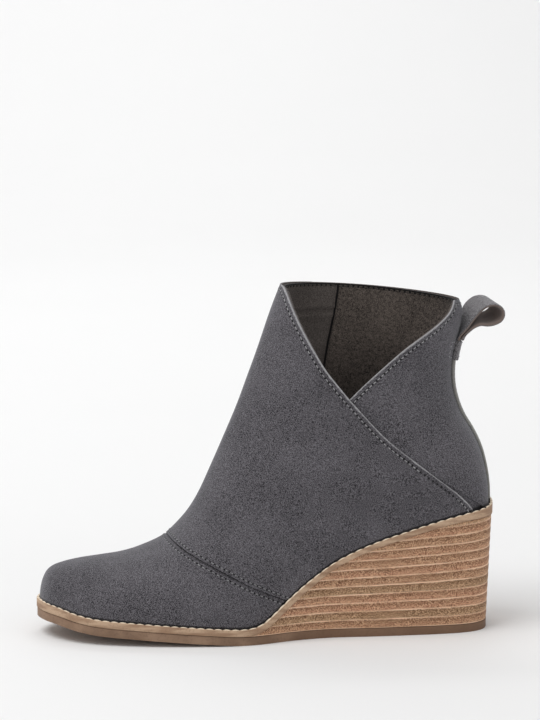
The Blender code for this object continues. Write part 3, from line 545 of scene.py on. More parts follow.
def finish_piece(name, bm, materials, flat_angle=None):
    """Moves the piece into the shared frame, makes its object and lets it ride on the shoe."""
    bmesh.ops.translate(bm, verts=bm.verts, vec=SHIFT)
    mesh = bpy.data.meshes.new(name)
    bm.to_mesh(mesh)
    bm.free()
    for polygon in mesh.polygons:
        polygon.use_smooth = True
    if flat_angle is not None:
        mesh.set_sharp_from_angle(angle=np.radians(flat_angle))
    obj = bpy.data.objects.new(name, mesh)
    bpy.context.scene.collection.objects.link(obj)
    for material in materials:
        mesh.materials.append(material)
    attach(obj, "root")
    size = [round((max(c) - min(c)) / MM, 1) for c in zip(*[v.co for v in mesh.vertices])]
    print(name, "of", len(mesh.polygons), "faces, mm:", size)
    return obj


# %% [markdown]
# ## Finishes
# A material is a small machine of nodes. This helper adds nodes and joins them in one line each, so
# that the recipe of a finish stays readable. Patterns read object coordinates in metres, so a scale of
# 1000 makes grains about a millimetre apart.

# %% A helper for materials


class Finish:
    """One procedural material round a Principled shader."""

    def __init__(self, name, roughness, **fixed):
        self.material = bpy.data.materials.new(name)
        self.material.use_nodes = True
        self.tree = self.material.node_tree
        self.shader = self.tree.nodes["Principled BSDF"]
        self.shader.inputs["Roughness"].default_value = roughness
        for key, value in fixed.items():
            self.shader.inputs[key.replace("_", " ")].default_value = value
        self.place = self.tree.nodes.new("ShaderNodeTexCoord").outputs["Object"]

    def node(self, kind, values=(), **settings):
        node = self.tree.nodes.new("ShaderNode" + kind)
        for key, value in settings.items():
            setattr(node, key, value)
        for i, value in enumerate(values):
            if isinstance(value, bpy.types.NodeSocket):
                self.tree.links.new(value, node.inputs[i])
            elif value is not None:
                node.inputs[i].default_value = value
        return node.outputs[0]

    def noise(self, scale, detail=2.0, rough=0.5, place=None):
        node = self.tree.nodes.new("ShaderNodeTexNoise")
        self.tree.links.new(place or self.place, node.inputs["Vector"])
        node.inputs["Scale"].default_value = scale
        node.inputs["Detail"].default_value = detail
        node.inputs["Roughness"].default_value = rough
        return node.outputs[0]

    def stretch(self, sx, sy, sz):
        return self.node("Mapping", [self.place, None, None, (sx, sy, sz)])

    def math(self, operation, *values):
        return self.node("Math", values, operation=operation)

    def band(self, value, low, high):
        """0 below low and 1 above high, smooth between; low may be the larger one."""
        node = self.tree.nodes.new("ShaderNodeMapRange")
        node.interpolation_type = "SMOOTHSTEP"
        self.tree.links.new(value, node.inputs["Value"])
        flip = low > high
        node.inputs["From Min"].default_value = min(low, high)
        node.inputs["From Max"].default_value = max(low, high)
        node.inputs["To Min"].default_value = 1.0 if flip else 0.0
        node.inputs["To Max"].default_value = 0.0 if flip else 1.0
        return node.outputs["Result"]

    def attribute(self, name):
        node = self.tree.nodes.new("ShaderNodeAttribute")
        node.attribute_name = name
        return node.outputs["Fac"]

    def mix(self, factor, first, second):
        node = self.tree.nodes.new("ShaderNodeMix")
        node.data_type = "RGBA"
        for key, value in (("Factor_Float", factor), ("A_Color", first), ("B_Color", second)):
            socket = next(i for i in node.inputs if i.identifier == key)
            if isinstance(value, bpy.types.NodeSocket):
                self.tree.links.new(value, socket)
            else:
                socket.default_value = value
        return next(o for o in node.outputs if o.identifier == "Result_Color")

    def link(self, value, name):
        self.tree.links.new(value, self.shader.inputs[name])

    def bump(self, *layers):
        """Stacks bump layers, each a height, its strength and its depth in metres."""
        normal = None
        for height, strength, depth in layers:
            node = self.tree.nodes.new("ShaderNodeBump")
            node.inputs["Strength"].default_value = strength
            node.inputs["Distance"].default_value = depth
            self.tree.links.new(height, node.inputs["Height"])
            if normal:
                self.tree.links.new(normal, node.inputs["Normal"])
            normal = node.outputs["Normal"]
        self.link(normal, "Normal")


def srgb(r, g, b):
    """A colour read off the photograph, from 0 to 255, as the linear colour that the shader takes."""
    c = np.array([r, g, b]) / 255.0
    return tuple(np.where(c > 0.04045, ((c + 0.055) / 1.055) ** 2.4, c / 12.92)) + (1.0,)


# %% [markdown]
# ## Suede
# Suede is leather brushed until short fibres stand up. The fibres lie a little differently from spot to
# spot, so it is speckled at half a millimetre and cloudy at a few centimetres. It has no gloss, and a
# sheen lights the fibres where the face turns away. Near a cut edge the paler core shows, and each
# needle hole is a dimple darkened with painted shade; both are drawn from the edge marks that the panel
# carries. Painted shade also darkens the groove of each stitch row, a thin line along sewn edges and
# seams, and a band of the suede just above the rand.

# %% Suede
STITCH = 2.9 * MM
ROW = 2.7 * MM


def suede(name, dark, light, core, row=ROW, edges=True, coarse=0.04, cloudy=0.13, nap=0.30, flesh=None):
    f = Finish(name, 0.95, Sheen_Weight=nap, Sheen_Roughness=0.5, Sheen_Tint=(0.82, 0.84, 0.88, 1.0),
               Specular_IOR_Level=0.12)
    fine = f.noise(2600.0, 1.0, 0.6)
    short = f.noise(600.0, 2.0, 0.6)
    cloud = f.noise(34.0, 2.0, 0.5)
    grain = f.math("ADD", f.math("MULTIPLY", f.band(fine, 0.40, 0.60), 1.0 - coarse - cloudy),
                   f.math("MULTIPLY", f.band(short, 0.34, 0.66), coarse))
    grain = f.math("ADD", grain, f.math("MULTIPLY", f.band(cloud, 0.34, 0.68), cloudy))
    colour = f.mix(grain, dark, light)
    layers = [(fine, 0.5, 0.15 * MM)]
    if edges:
        edge = f.attribute("edge")
        run = f.attribute("run")
        raw = f.attribute("raw")
        ragged = f.math("ADD", raw, f.math("MULTIPLY", f.math("SUBTRACT", short, 0.5), 0.9))
        colour = f.mix(f.math("MULTIPLY", f.band(ragged, 1.15, 0.50), 0.85), colour, core)
        part = f.math("ABSOLUTE", f.math("SUBTRACT", f.math("FRACT", run), 0.5))
        x = f.math("MULTIPLY", f.math("SUBTRACT", 0.5, part), STITCH / MM)
        y = f.math("MULTIPLY", f.math("SUBTRACT", edge, 1.0), row / MM)
        away = f.math("SQRT", f.math("ADD", f.math("MULTIPLY", x, x), f.math("MULTIPLY", y, y)))
        # painted shade: each needle hole is darkened almost to black, as shade inside a hole
        hole = f.band(away, 0.85, 0.40)
        colour = f.mix(f.math("MULTIPLY", hole, 0.9), colour, srgb(14, 13, 14))
        # painted shade: a thin dark line along sewn edges and seams, where one piece dips under the next
        seam = f.math("MULTIPLY", f.band(edge, 0.90 * MM / row, 0.42 * MM / row), f.band(raw, 1.5, 3.0))
        colour = f.mix(f.math("MULTIPLY", seam, 0.98), colour, srgb(9, 8, 9))
        # painted shade: a dark band on the suede just above the rand, in the gap where the rand's beads meet it
        foot_line = f.band(f.attribute("above"), 1.9, 0.9)
        colour = f.mix(f.math("MULTIPLY", foot_line, 0.85), colour, srgb(16, 14, 14))
        # painted shade: the pressed groove of each stitch row is darkened as well as sunk by bump
        groove = f.band(f.math("ABSOLUTE", y), 0.9, 0.0)
        colour = f.mix(f.math("MULTIPLY", groove, 0.20), colour, dark)
        layers.append((f.math("MULTIPLY", groove, -1.0), 0.7, 0.3 * MM))
        layers.append((f.math("MULTIPLY", hole, -1.0), 0.8, 0.4 * MM))
    if flesh:
        colour = f.mix(f.band(f.attribute("under"), 0.30, 0.60), colour, flesh)
    f.link(colour, "Base Color")
    f.bump(*layers)
    return f.material


FLESH = srgb(84, 74, 69)
SUEDE = suede("grey_suede", srgb(24, 22, 25), srgb(116, 113, 118), srgb(172, 171, 173), nap=0.30, flesh=FLESH)
STRAP = suede("strap_suede", srgb(36, 34, 36), srgb(152, 149, 151), srgb(150, 149, 151), edges=False,
              flesh=srgb(116, 103, 96))
TAB = suede("tab_suede", srgb(60, 58, 60), srgb(164, 161, 163), srgb(186, 184, 184), edges=False)
THREADS = {
    "pale": suede("pale_thread", srgb(112, 111, 113), srgb(172, 171, 172), srgb(150, 149, 151), edges=False),
    "grey": suede("grey_thread", srgb(96, 95, 97), srgb(152, 151, 153), srgb(150, 149, 151), edges=False),
    "brown": suede("brown_thread", srgb(30, 26, 24), srgb(84, 76, 70), srgb(150, 149, 151), edges=False),
}

# %% [markdown]
# ## Lining, rand, stack and rubber
# The lining is a softer brown-grey leather. The rand is a strip of tan leather board whose bead tops are
# paler, partly worn leather and partly painted highlight. The stack is sanded board in layers, with long
# dark flecks, a painted highlight along each joint between layers and painted shade just under it. The outsole is
# matte brown rubber.

# %% Lining, rand, stack and rubber
LINING_ROW = 1.3 * MM
LINING = suede("brown_grey_lining", srgb(14, 11, 10), srgb(116, 106, 99), srgb(60, 56, 53), row=LINING_ROW,
               coarse=0.25, cloudy=0.12, nap=0.20)
SMOOTH_LINING = suede("smooth_lining", srgb(56, 51, 48), srgb(108, 101, 97), srgb(60, 56, 53), row=LINING_ROW,
                      coarse=0.1, cloudy=0.25, nap=0.12)


def rand_finish():
    f = Finish("tan_rand", 0.62, Specular_IOR_Level=0.35)
    fine = f.noise(900.0, 3.0, 0.6)
    streak = f.noise(160.0, 3.0, 0.55, f.stretch(0.35, 0.35, 2.2))
    colour = f.mix(f.band(streak, 0.35, 0.65), srgb(156, 125, 100), srgb(192, 163, 136))
    colour = f.mix(f.math("MULTIPLY", f.band(fine, 0.52, 0.70), 0.35), colour, srgb(112, 86, 66))
    # painted highlight and wear: the bead tops turn pale cream, partly worn leather and partly painted highlight
    crest_wear_and_highlight = f.attribute("crest_wear_and_highlight")
    colour = f.mix(f.math("MULTIPLY", crest_wear_and_highlight, 0.95), colour, srgb(240, 224, 200))
    f.link(colour, "Base Color")
    f.bump((fine, 0.35, 0.15 * MM), (streak, 0.25, 0.2 * MM))
    return f.material


def stack_finish():
    f = Finish("stacked_board", 0.66, Specular_IOR_Level=0.3)
    level = f.attribute("level")
    wavy = f.math("ADD", level, f.math("MULTIPLY", f.math("SUBTRACT", f.noise(55.0, 2.0, 0.5), 0.5), 0.16))
    part = f.math("FRACT", wavy)
    tone = f.node("TexWhiteNoise", [None, f.math("FLOOR", wavy)], noise_dimensions="1D")
    grain = f.noise(260.0, 3.0, 0.6, f.stretch(0.40, 0.40, 1.8))
    speck = f.noise(1900.0, 1.0, 0.6)
    fade = f.noise(90.0, 2.0, 0.5, f.stretch(0.5, 0.5, 3.0))
    fleck = f.noise(420.0, 2.0, 0.5, f.stretch(0.35, 0.35, 1.6))
    colour = f.mix(f.band(tone, 0.15, 0.85), srgb(160, 127, 94), srgb(188, 136, 106))
    colour = f.mix(f.math("MULTIPLY", f.band(grain, 0.40, 0.66), 0.45), colour, srgb(206, 164, 130))
    # painted shade: each layer darkens just under the joint above it
    shade = f.math("MULTIPLY", f.band(part, 0.25, 0.80), f.band(part, 0.99, 0.86))
    colour = f.mix(f.math("MULTIPLY", shade, 0.60), colour, srgb(104, 66, 40))
    colour = f.mix(f.math("MULTIPLY", f.band(speck, 0.49, 0.38), 0.72), colour, srgb(84, 54, 34))
    colour = f.mix(f.math("MULTIPLY", f.band(speck, 0.51, 0.62), 0.55), colour, srgb(232, 194, 156))
    colour = f.mix(f.math("MULTIPLY", f.band(fleck, 0.60, 0.70), 0.30), colour, srgb(92, 62, 42))
    # painted highlight: a pale line at each joint between layers, where the ledge catches the light, faded here and
    # there
    ragged = f.math("ADD", part, f.math("MULTIPLY", f.math("SUBTRACT", speck, 0.5), 0.12))
    line = f.math("ADD", f.band(ragged, 0.13, 0.02), f.band(ragged, 0.90, 0.98))
    faded_layer_highlight = f.math("MULTIPLY", line, f.math("ADD", 0.36, f.math("MULTIPLY", f.band(fade, 0.38, 0.58), 0.50)))
    colour = f.mix(faded_layer_highlight, colour, srgb(244, 208, 178))
    f.link(colour, "Base Color")
    f.bump((grain, 0.3, 0.2 * MM), (speck, 0.4, 0.2 * MM), (line, 0.6, 0.25 * MM))
    return f.material


def rubber_finish():
    f = Finish("brown_rubber", 0.58, Specular_IOR_Level=0.35)
    fine = f.noise(800.0, 3.0, 0.6)
    cloud = f.noise(60.0, 2.0, 0.5)
    colour = f.mix(f.band(cloud, 0.35, 0.65), srgb(124, 98, 78), srgb(150, 122, 100))
    lengthwise = f.node("SeparateXYZ", [f.place])
    colour = f.mix(f.math("MULTIPLY", f.band(lengthwise, -0.03, 0.03), 0.75), colour, srgb(108, 80, 60))
    colour = f.mix(f.math("MULTIPLY", f.band(fine, 0.50, 0.70), 0.30), colour, srgb(84, 64, 50))
    f.link(colour, "Base Color")
    f.bump((fine, 0.35, 0.15 * MM))
    return f.material


def insole_finish():
    f = Finish("insole_leather", 0.7, Specular_IOR_Level=0.3)
    fine = f.noise(900.0, 3.0, 0.6)
    cloud = f.noise(40.0, 2.0, 0.5)
    colour = f.mix(f.band(cloud, 0.35, 0.65), srgb(58, 52, 49), srgb(78, 71, 67))
    f.link(colour, "Base Color")
    f.bump((fine, 0.3, 0.15 * MM))
    return f.material


RAND = rand_finish()
STACK = stack_finish()
RUBBER = rubber_finish()
INSOLE = insole_finish()
print("finishes:", [m.name for m in bpy.data.materials if m.use_nodes][:20])

# %% [markdown]
# ## The front panel
# One large piece of suede covers the instep, both sides and the front of the shaft. Its edge laps over
# the back quarter from the V down to the heel. Every column of the grid starts at the toe seam and
# climbs to the collar, so the outer column follows rand, diagonal and V in one line.

# %% Levels and soft forms of the suede
FRONT_OUT = 0.15 * MM
QUARTER_OUT = -1.0 * MM
CREASES = (
    ((0.285, 0.262), (0.330, 0.220), (0.392, 0.178), 0.35, 7.0),
    ((0.300, 0.345), (0.375, 0.300), (0.480, 0.250), 0.30, 9.0),
    ((0.470, 0.640), (0.560, 0.560), (0.660, 0.520), 0.30, 12.0),
    ((0.600, 0.400), (0.700, 0.380), (0.800, 0.360), 0.25, 12.0),
)


def soften(points, creases=CREASES):
    """Soft troughs that follow the way the suede was pulled over the last, in metres outwards."""
    total = np.zeros(len(points))
    for *line, depth, width in creases:
        p = spline([(LENGTH * x, COLLAR_FRONT * z) for x, z in line], per=8)
        d = np.linalg.norm(points[:, None, ::2] - p[None], axis=2).min(axis=1) / (width * MM)
        total += depth * MM * (0.45 * np.exp(-((d - 1.5) ** 2)) - np.exp(-d ** 2))
    return total


def toe_seam_at(a):
    line = toe_seam[np.argsort(toe_seam[:, 1])]
    return np.interp(a, line[:, 1], line[:, 0])


def seam_s(u):
    """Section where a column of the panel meets the toe seam."""
    s = np.full(len(u), 8.0)
    for _ in range(12):
        s = toe_seam_at(np.abs(u) * np.where(u < 0, foot(-1, s), foot(1, s)))
    return s


def collar_at(edge_at, u, drop=0.0):
    """Section where each column meets the collar."""
    return halve(np.full(len(u), 15.5), np.full(len(u), LAST_SECTION),
                 lambda s: under_collar(face(s, edge_at(s, u)), drop))


def front_a(s, u):
    """From the outer edge at u = -1 to the inner seam at u = 1."""
    outer = np.minimum(foot(-1, s), front_edge(s))
    inner = np.minimum(foot(1, s), inner_at(s))
    return u * np.where(u < 0, outer, inner)


def front_place(start, drop=0.0, rows_to_v=0.55, edge_at=front_a):
    def place(u, v):
        across = 2 * u - 1
        low = start(across)
        high = collar_at(edge_at, across, drop)
        at_v = (V_BOTTOM - low) / (high - low)
        v = np.interp(v, [0, 1], [0, 1])
        v = np.where(v < rows_to_v, v / rows_to_v * at_v, at_v + (v - rows_to_v) / (1 - rows_to_v) * (1 - at_v))
        s = low + (high - low) * v
        return face(s, edge_at(s, across))
    return place


# %% Front panel
def edge_curve(s, a, level):
    return face(s, a) + outward(s, a) * level


def nearest(points):
    """A search tree over a polyline's points."""
    tree = KDTree(len(points))
    for i, p in enumerate(points):
        tree.insert(p, i)
    tree.balance()
    return tree


def leaves_foot(side, line):
    """The section where a panel's edge comes up from behind the rand."""
    s = np.linspace(12.0, V_BOTTOM, 401)
    return float(s[np.argmax(line(s) < foot(side, s))])


STITCHES = {"pale": [], "grey": [], "brown": [], "box": []}


def sew(bm, s, a, s_in, a_in, level, row, thread="pale"):
    """Plans a row of stitches beside an edge. The second s and a lie a little inside the piece."""
    tree = BVHTree.FromBMesh(bm)
    p = edge_curve(s, a, level)
    t = np.gradient(p, axis=0)
    t /= np.linalg.norm(t, axis=1)[:, None]
    d = face(s_in, a_in) - face(s, a)
    d -= (d * t).sum(axis=1)[:, None] * t
    d /= np.linalg.norm(d, axis=1)[:, None]
    hint = outward(s, a) * np.sign(level + 1.9 * MM)
    plan_row(tree, p, p + d * row, hint, thread)


def plan_row(tree, edge, line, hint, thread):
    run = np.concatenate([[0.0], np.cumsum(np.linalg.norm(np.diff(edge, axis=0), axis=1))])
    for k in range(int(run[-1] / STITCH)):
        at = (k + 0.5) * STITCH
        p, q, n = [np.array([np.interp(r, run, c) for c in rows.T])
                   for rows, r in ((line, at - 0.2 * STITCH), (line, at + 0.2 * STITCH), (hint, at))]
        spot, normal = tree.find_nearest(Vector(0.5 * (p + q) + n * 0.5 * MM))[:2]
        if normal.dot(Vector(n)) < 0:
            normal = -normal
        way = Vector(q - p)
        way = (way - normal * way.dot(normal)).normalized()
        STITCHES[thread].append((spot, way, normal))


INSIDE = (0.62 * LENGTH, 0.0, 0.45 * COLLAR_FRONT)
bm = laid_grid(150, 110, front_place(seam_s))
co, no = sheet_normals(bm, INSIDE)
swell = soften(co)
u = np.linspace(-1, 1, 301)
seam_curve = face(seam_s(u), front_a(seam_s(u), u))
seam_tree = nearest(seam_curve)
to_seam = np.array([seam_tree.find(p)[2] for p in co])
under = (-0.60 - 0.35 * ease(to_seam, 0.0, 6 * MM)) * MM
over_v = (co[:, 1] < 0) * ease(co[:, 2], 0.69 * COLLAR_FRONT, 0.74 * COLLAR_FRONT)
under = under - 0.55 * MM * over_v
give_thickness(bm, co + no * (under + swell)[:, None], co + no * (FRONT_OUT + swell)[:, None], 0.40 * MM)
s_top = collar_at(front_a, np.array([-1.0, 1.0]))
s_edge = np.concatenate([np.linspace(leaves_foot(-1, front_edge), V_BOTTOM, 120),
                         np.linspace(V_BOTTOM, s_top[0], 80)[1:]])
outer_curve = edge_curve(s_edge, front_a(s_edge, -1.0), -0.4 * MM)
s_in = np.linspace(leaves_foot(1, inner_at), s_top[1], 150)
inner_curve = edge_curve(s_in, front_a(s_in, 1.0), -0.4 * MM)
top_u = np.linspace(-1, 1, 120)
top_s = collar_at(front_a, top_u)
collar_curve = edge_curve(top_s, front_a(top_s, top_u), -0.4 * MM)
SEAM_ROW = 2.1 * MM
mark_edges(bm, [(outer_curve, ROW, "raw"), (inner_curve, ROW, "raw"), (collar_curve, ROW, "sewn"),
                (seam_curve, SEAM_ROW, "sewn")], STITCH)
sew(bm, s_edge, front_a(s_edge, -1.0), s_edge, front_a(s_edge, -0.97), -0.4 * MM, ROW)
sew(bm, s_in, front_a(s_in, 1.0), s_in, front_a(s_in, 0.97), -0.4 * MM, ROW)
sew(bm, top_s, front_a(top_s, top_u), top_s - 0.3, front_a(top_s - 0.3, top_u), -0.4 * MM, ROW)
sew(bm, seam_s(u), front_a(seam_s(u), u), seam_s(u) + 0.2, front_a(seam_s(u), u), 0.0, SEAM_ROW,
    "grey")
front_panel = finish_piece("front_panel", bm, [SUEDE])

# %% [markdown]
# ## The toe piece
# The toe piece is a separate cap of suede. Its rear edge dips under the front panel, which makes the
# thin dark line of the seam, deepened with painted shade along both edges. It starts as a fan at the toe tip, hidden
# behind the rand.

# %% Toe piece
def toe_a(s, u):
    return u * np.where(u < 0, foot(-1, s), foot(1, s))


def toe_place(u, v):
    across = 2 * u - 1
    high = seam_s(across) + 0.16
    s = TOE_START + (high - TOE_START) * v ** 1.25
    return face(s, toe_a(s, across))


bm = laid_grid(130, 70, toe_place)
co, no = sheet_normals(bm, (0.35 * LENGTH, 0.0, 0.0))
to_seam = np.array([seam_tree.find(p)[2] for p in co])
dip = -0.60 * MM * (1 - ease(to_seam, 0.3 * MM, 2.0 * MM))
swell = soften(co)
give_thickness(bm, co + no * (-1.7 * MM + swell)[:, None], co + no * (dip + swell)[:, None], 0.0)
mark_edges(bm, [(seam_curve, SEAM_ROW, "sewn")], STITCH)
sew(bm, seam_s(u), toe_a(seam_s(u), u), seam_s(u) - 0.2, toe_a(seam_s(u), u), 0.0, SEAM_ROW, "grey")
toe_piece = finish_piece("toe_piece", bm, [SUEDE])

# %% [markdown]
# ## The back quarter
# The quarter wraps the heel in one piece, from the V's rear edge round the back to the inner seam. It
# lies one thickness lower than the front panel, and runs a few millimetres on under it.

# %% Back quarter
LAP = 0.045


def quarter_a(s, u):
    """From the outer edge at u = -1 round the back to the inner seam at u = 1, as one running a."""
    lap = LAP * ease(V_BOTTOM - s, 0.0, 0.35)
    outer = np.minimum(foot(-1, s), np.where(s > V_BOTTOM, v_back_at(s), diagonal_at(s) - lap))
    inner = np.minimum(foot(1, s), inner_at(s) - LAP)
    left, right = -outer, -2.0 + inner
    return left + (right - left) * 0.5 * (u + 1.0)


def quarter_place(drop=0.0, edge_at=quarter_a):
    def place(u, v):
        across = 2 * u - 1
        low = halve(np.full(len(u), 12.5), np.full(len(u), 17.5),
                    lambda s: ~above_foot(s, np.clip(edge_at(s, across), -1.98, -0.02)))
        high = collar_at(edge_at, across, drop)
        at_v = (V_BOTTOM - low) / (high - low)
        v = np.where(v < 0.5, v / 0.5 * at_v, at_v + (v - 0.5) / 0.5 * (1 - at_v))
        s = low + (high - low) * v
        return face(s, edge_at(s, across))
    return place


bm = laid_grid(130, 90, quarter_place())
co, no = sheet_normals(bm, (0.70 * LENGTH, 0.0, 0.6 * COLLAR_FRONT))
swell = soften(co)
give_thickness(bm, co + no * (-2.0 * MM + swell)[:, None], co + no * (QUARTER_OUT + swell)[:, None], 0.35 * MM)
q_top = collar_at(quarter_a, np.linspace(-1, 1, 120))
rim_curve = edge_curve(q_top, quarter_a(q_top, np.linspace(-1, 1, 120)), -1.5 * MM)
s_v = np.linspace(V_BOTTOM, q_top[0], 100)
v_curve = edge_curve(s_v, quarter_a(s_v, -1.0), -1.5 * MM)
mark_edges(bm, [(v_curve, ROW, "raw"), (rim_curve, ROW, "sewn")], STITCH)
sew(bm, s_v, quarter_a(s_v, -1.0), s_v, quarter_a(s_v, -0.97), -1.5 * MM, ROW)
rim_u = np.linspace(-1, 1, 120)
sew(bm, q_top, quarter_a(q_top, rim_u), q_top - 0.3, quarter_a(q_top - 0.3, rim_u), -1.5 * MM, ROW)
quarter = finish_piece("back_quarter", bm, [SUEDE])

# %% [markdown]
# ## The lining
# Inside, a smoother lining covers the front and a softer, fuzzier one the back. They meet in an
# upright seam that is seen through the V, and a row of stitches runs under the collar.

# %% Lining
LINING_OUT = -2.05 * MM
LINING_IN = -2.9 * MM


def front_lining_a(s, u):
    outer = np.minimum(foot(-1, s), front_edge(s) - 0.002)
    inner = np.minimum(foot(1, s), lining_at(s))
    return u * np.where(u < 0, outer, inner)


def back_lining_a(s, u):
    outer = np.minimum(foot(-1, s), np.where(s > V_BOTTOM, v_back_at(s) + 0.002, front_edge(s)))
    inner = np.minimum(foot(1, s), lining_at(s))
    return -outer + (-2.0 + inner + outer) * 0.5 * (u + 1.0)


FOLD = (((0.500, 0.902), (0.580, 0.904), (0.700, 0.904), 1.0, 1.5),)


def lining(name, columns, rows, place, curves, material, top, backing, creases=()):
    bm = laid_grid(columns, rows, place)
    co, no = sheet_normals(bm, (0.70 * LENGTH, 0.0, 0.6 * COLLAR_FRONT))
    dent = no * soften(co, creases)[:, None]
    give_thickness(bm, co + no * backing - dent, co + no * LINING_IN - dent, 0.2 * MM, 2)
    mark_edges(bm, curves, STITCH)
    s, a = top
    sew(bm, s, a, s - 0.3, a, LINING_IN, LINING_ROW, "brown")
    return finish_piece(name, bm, [material])


whole = np.linspace(-1, 1, 160)
f_top = collar_at(front_lining_a, whole, 0.3 * MM)
b_top = collar_at(back_lining_a, whole, 0.3 * MM)
f_curve = edge_curve(f_top, front_lining_a(f_top, whole), LINING_IN)
b_curve = edge_curve(b_top, back_lining_a(b_top, whole), LINING_IN)
s_side = np.linspace(12.0, f_top[-1], 120)
side_curve = edge_curve(s_side, front_lining_a(s_side, 1.0), LINING_IN)
front_lining = lining("front_lining", 100, 80,
                      front_place(lambda a: np.full(len(a), 9.0), 0.3 * MM, 0.5, front_lining_a),
                      [(f_curve, LINING_ROW, "sewn"), (side_curve, LINING_ROW, "seam")], SMOOTH_LINING,
                      (f_top, front_lining_a(f_top, whole)), -1.3 * MM, FOLD)
back_lining = lining("back_lining", 110, 70, quarter_place(0.3 * MM, back_lining_a),
                     [(b_curve, LINING_ROW, "sewn"), (side_curve, LINING_ROW, "seam")], LINING, (b_top, back_lining_a(b_top, whole)), LINING_OUT)

# %% [markdown]
# ## Pieces that ride on the back
# A narrow strip hides the middle of the back, a folded tab is sewn over its top, and the pull loop
# stands up from the tab. Each is laid on the last at the back, by the height and the distance to the
# side.

# %% Backstay and tab
STRAP_WIDTH = 18.0 * MM
STRAP_THICK = 1.4 * MM
PATCH_TOP = COLLAR_BACK - 23.4 * MM
PATCH_HEIGHT = 10.6 * MM


def back_point(z, y):
    """A point of the last near the back line, from its height there and its y."""
    s = halve(np.full(np.shape(z), 15.0), np.full(np.shape(z), LAST_SECTION),
              lambda q: section_values(q)["low"][..., 1] < z)
    v = section_values(s)
    x = v["low"][..., 0]
    seat = np.abs(side_y(-1, np.minimum(x, 0.86 * LENGTH), LEDGE))
    seat = np.where(y < 0, seat, np.abs(side_y(1, np.minimum(x, 0.86 * LENGTH), LEDGE)))
    half = seat + (0.5 * COLLAR_WIDTH - seat) * v["collar"] + HEEL_WIDTH * np.where(y < 0, v["outer"], v["inner"])
    u = np.maximum(1.0 - (np.abs(y) / half) ** v["tail"], 0.0) ** (1.0 / v["tail"])
    share = v["widest"] + (1.0 - v["widest"]) * u
    flat = v["top"] + (v["low"] - v["top"]) * share[..., None]
    return np.stack([flat[..., 0], y, flat[..., 1]], axis=-1)


def back_strip(name, low, high, width, inner, outer, bevel, columns, rows, row, core=None):
    def place(u, v):
        return back_point(low + (high - low) * v, (u - 0.5) * width)
    bm = laid_grid(columns, rows, place)
    co, no = sheet_normals(bm, (0.7 * LENGTH, 0.0, 0.6 * COLLAR_FRONT))
    rise = np.clip((co[:, 2] - low) / (high - low), 0.0, 1.0)
    out = outer[0] + (outer[1] - outer[0]) * rise
    give_thickness(bm, co + no * inner, co + no * out[:, None], bevel)
    z = np.linspace(low, high, 80)
    mid = 0.5 * (inner + outer[1])
    curves = [(back_point(z, np.full(80, y)) + np.array([mid, 0, 0]), row, "raw") for y in (-0.5 * width, 0.5 * width)]
    mark_edges(bm, curves, STITCH)
    return finish_piece(name, bm, [core or SUEDE])


STRIP = suede("backstay_suede", srgb(98, 97, 95), srgb(170, 168, 163), srgb(158, 156, 151), row=1.5 * MM)
backstay = back_strip("backstay_strip", HEEL_HEIGHT - 1.0 * MM, PATCH_TOP - PATCH_HEIGHT + 1.0 * MM, 17.0 * MM,
                      -1.1 * MM, (0.3 * MM, 0.75 * MM), 0.35 * MM, 22, 110, 1.5 * MM, STRIP)
tab = back_strip("sewn_tab", PATCH_TOP - PATCH_HEIGHT, PATCH_TOP, STRAP_WIDTH, -1.1 * MM,
                 (2.15 * MM, 2.15 * MM), 0.45 * MM, 26, 16, 2.0 * MM, TAB)
quarter_tree = BVHTree.FromObject(quarter, bpy.context.evaluated_depsgraph_get())
tab_tree = BVHTree.FromObject(tab, bpy.context.evaluated_depsgraph_get())
for drop in (1.2 * MM, 9.0 * MM):
    y = np.linspace(-8.0 * MM, 8.0 * MM, 60)
    bar = back_point(np.full(60, PATCH_TOP - drop), y) + np.array(SHIFT) + np.array([2.6 * MM, 0.0, 0.0])
    plan_row(tab_tree, bar, bar, np.tile([1.0, 0.0, 0.0], (60, 1)), "box")
for side in (-1, 1):
    corners = [(1.0, 9.6), (1.0, 13.4), (9.6, 13.4), (9.6, 9.6)]
    box_line = back_point(np.array([PATCH_TOP - z * MM for z, y in corners]),
                          np.array([side * y * MM for z, y in corners]))
    box_line = along(box_line, np.linspace(0, 1, 60)) + np.array(SHIFT)
    plan_row(quarter_tree, box_line, box_line, np.tile([0.8, side * 0.6, 0.0], (60, 1)), "box")
STITCHES["pale"] += [(spot - SHIFT, way, normal) for spot, way, normal in STITCHES.pop("box")]

# %% [markdown]
# ## The pull loop
# The loop is a strap folded into a teardrop. The path is a spline in side view, and the strap leans a
# little, because its two edges were not sewn level. It is a sheet that gets its thickness last.

# %% Pull loop
LOOP_REACH = 21.6 * MM
LOOP_RISE = 21.2 * MM
LOOP = ((0.000, 0.000), (0.035, 0.150), (0.110, 0.380), (0.225, 0.620), (0.380, 0.840), (0.560, 0.970),
        (0.730, 1.000), (0.880, 0.955), (0.975, 0.845), (1.000, 0.710), (0.955, 0.575), (0.840, 0.485),
        (0.650, 0.435), (0.430, 0.450), (0.275, 0.370), (0.170, 0.200), (0.095, 0.000))
LOOP_LINE = spline(np.array(LOOP) * np.array([LOOP_REACH, LOOP_RISE]))
MIDDLE = back_point(np.array([PATCH_TOP]), np.array([0.0]))[0]


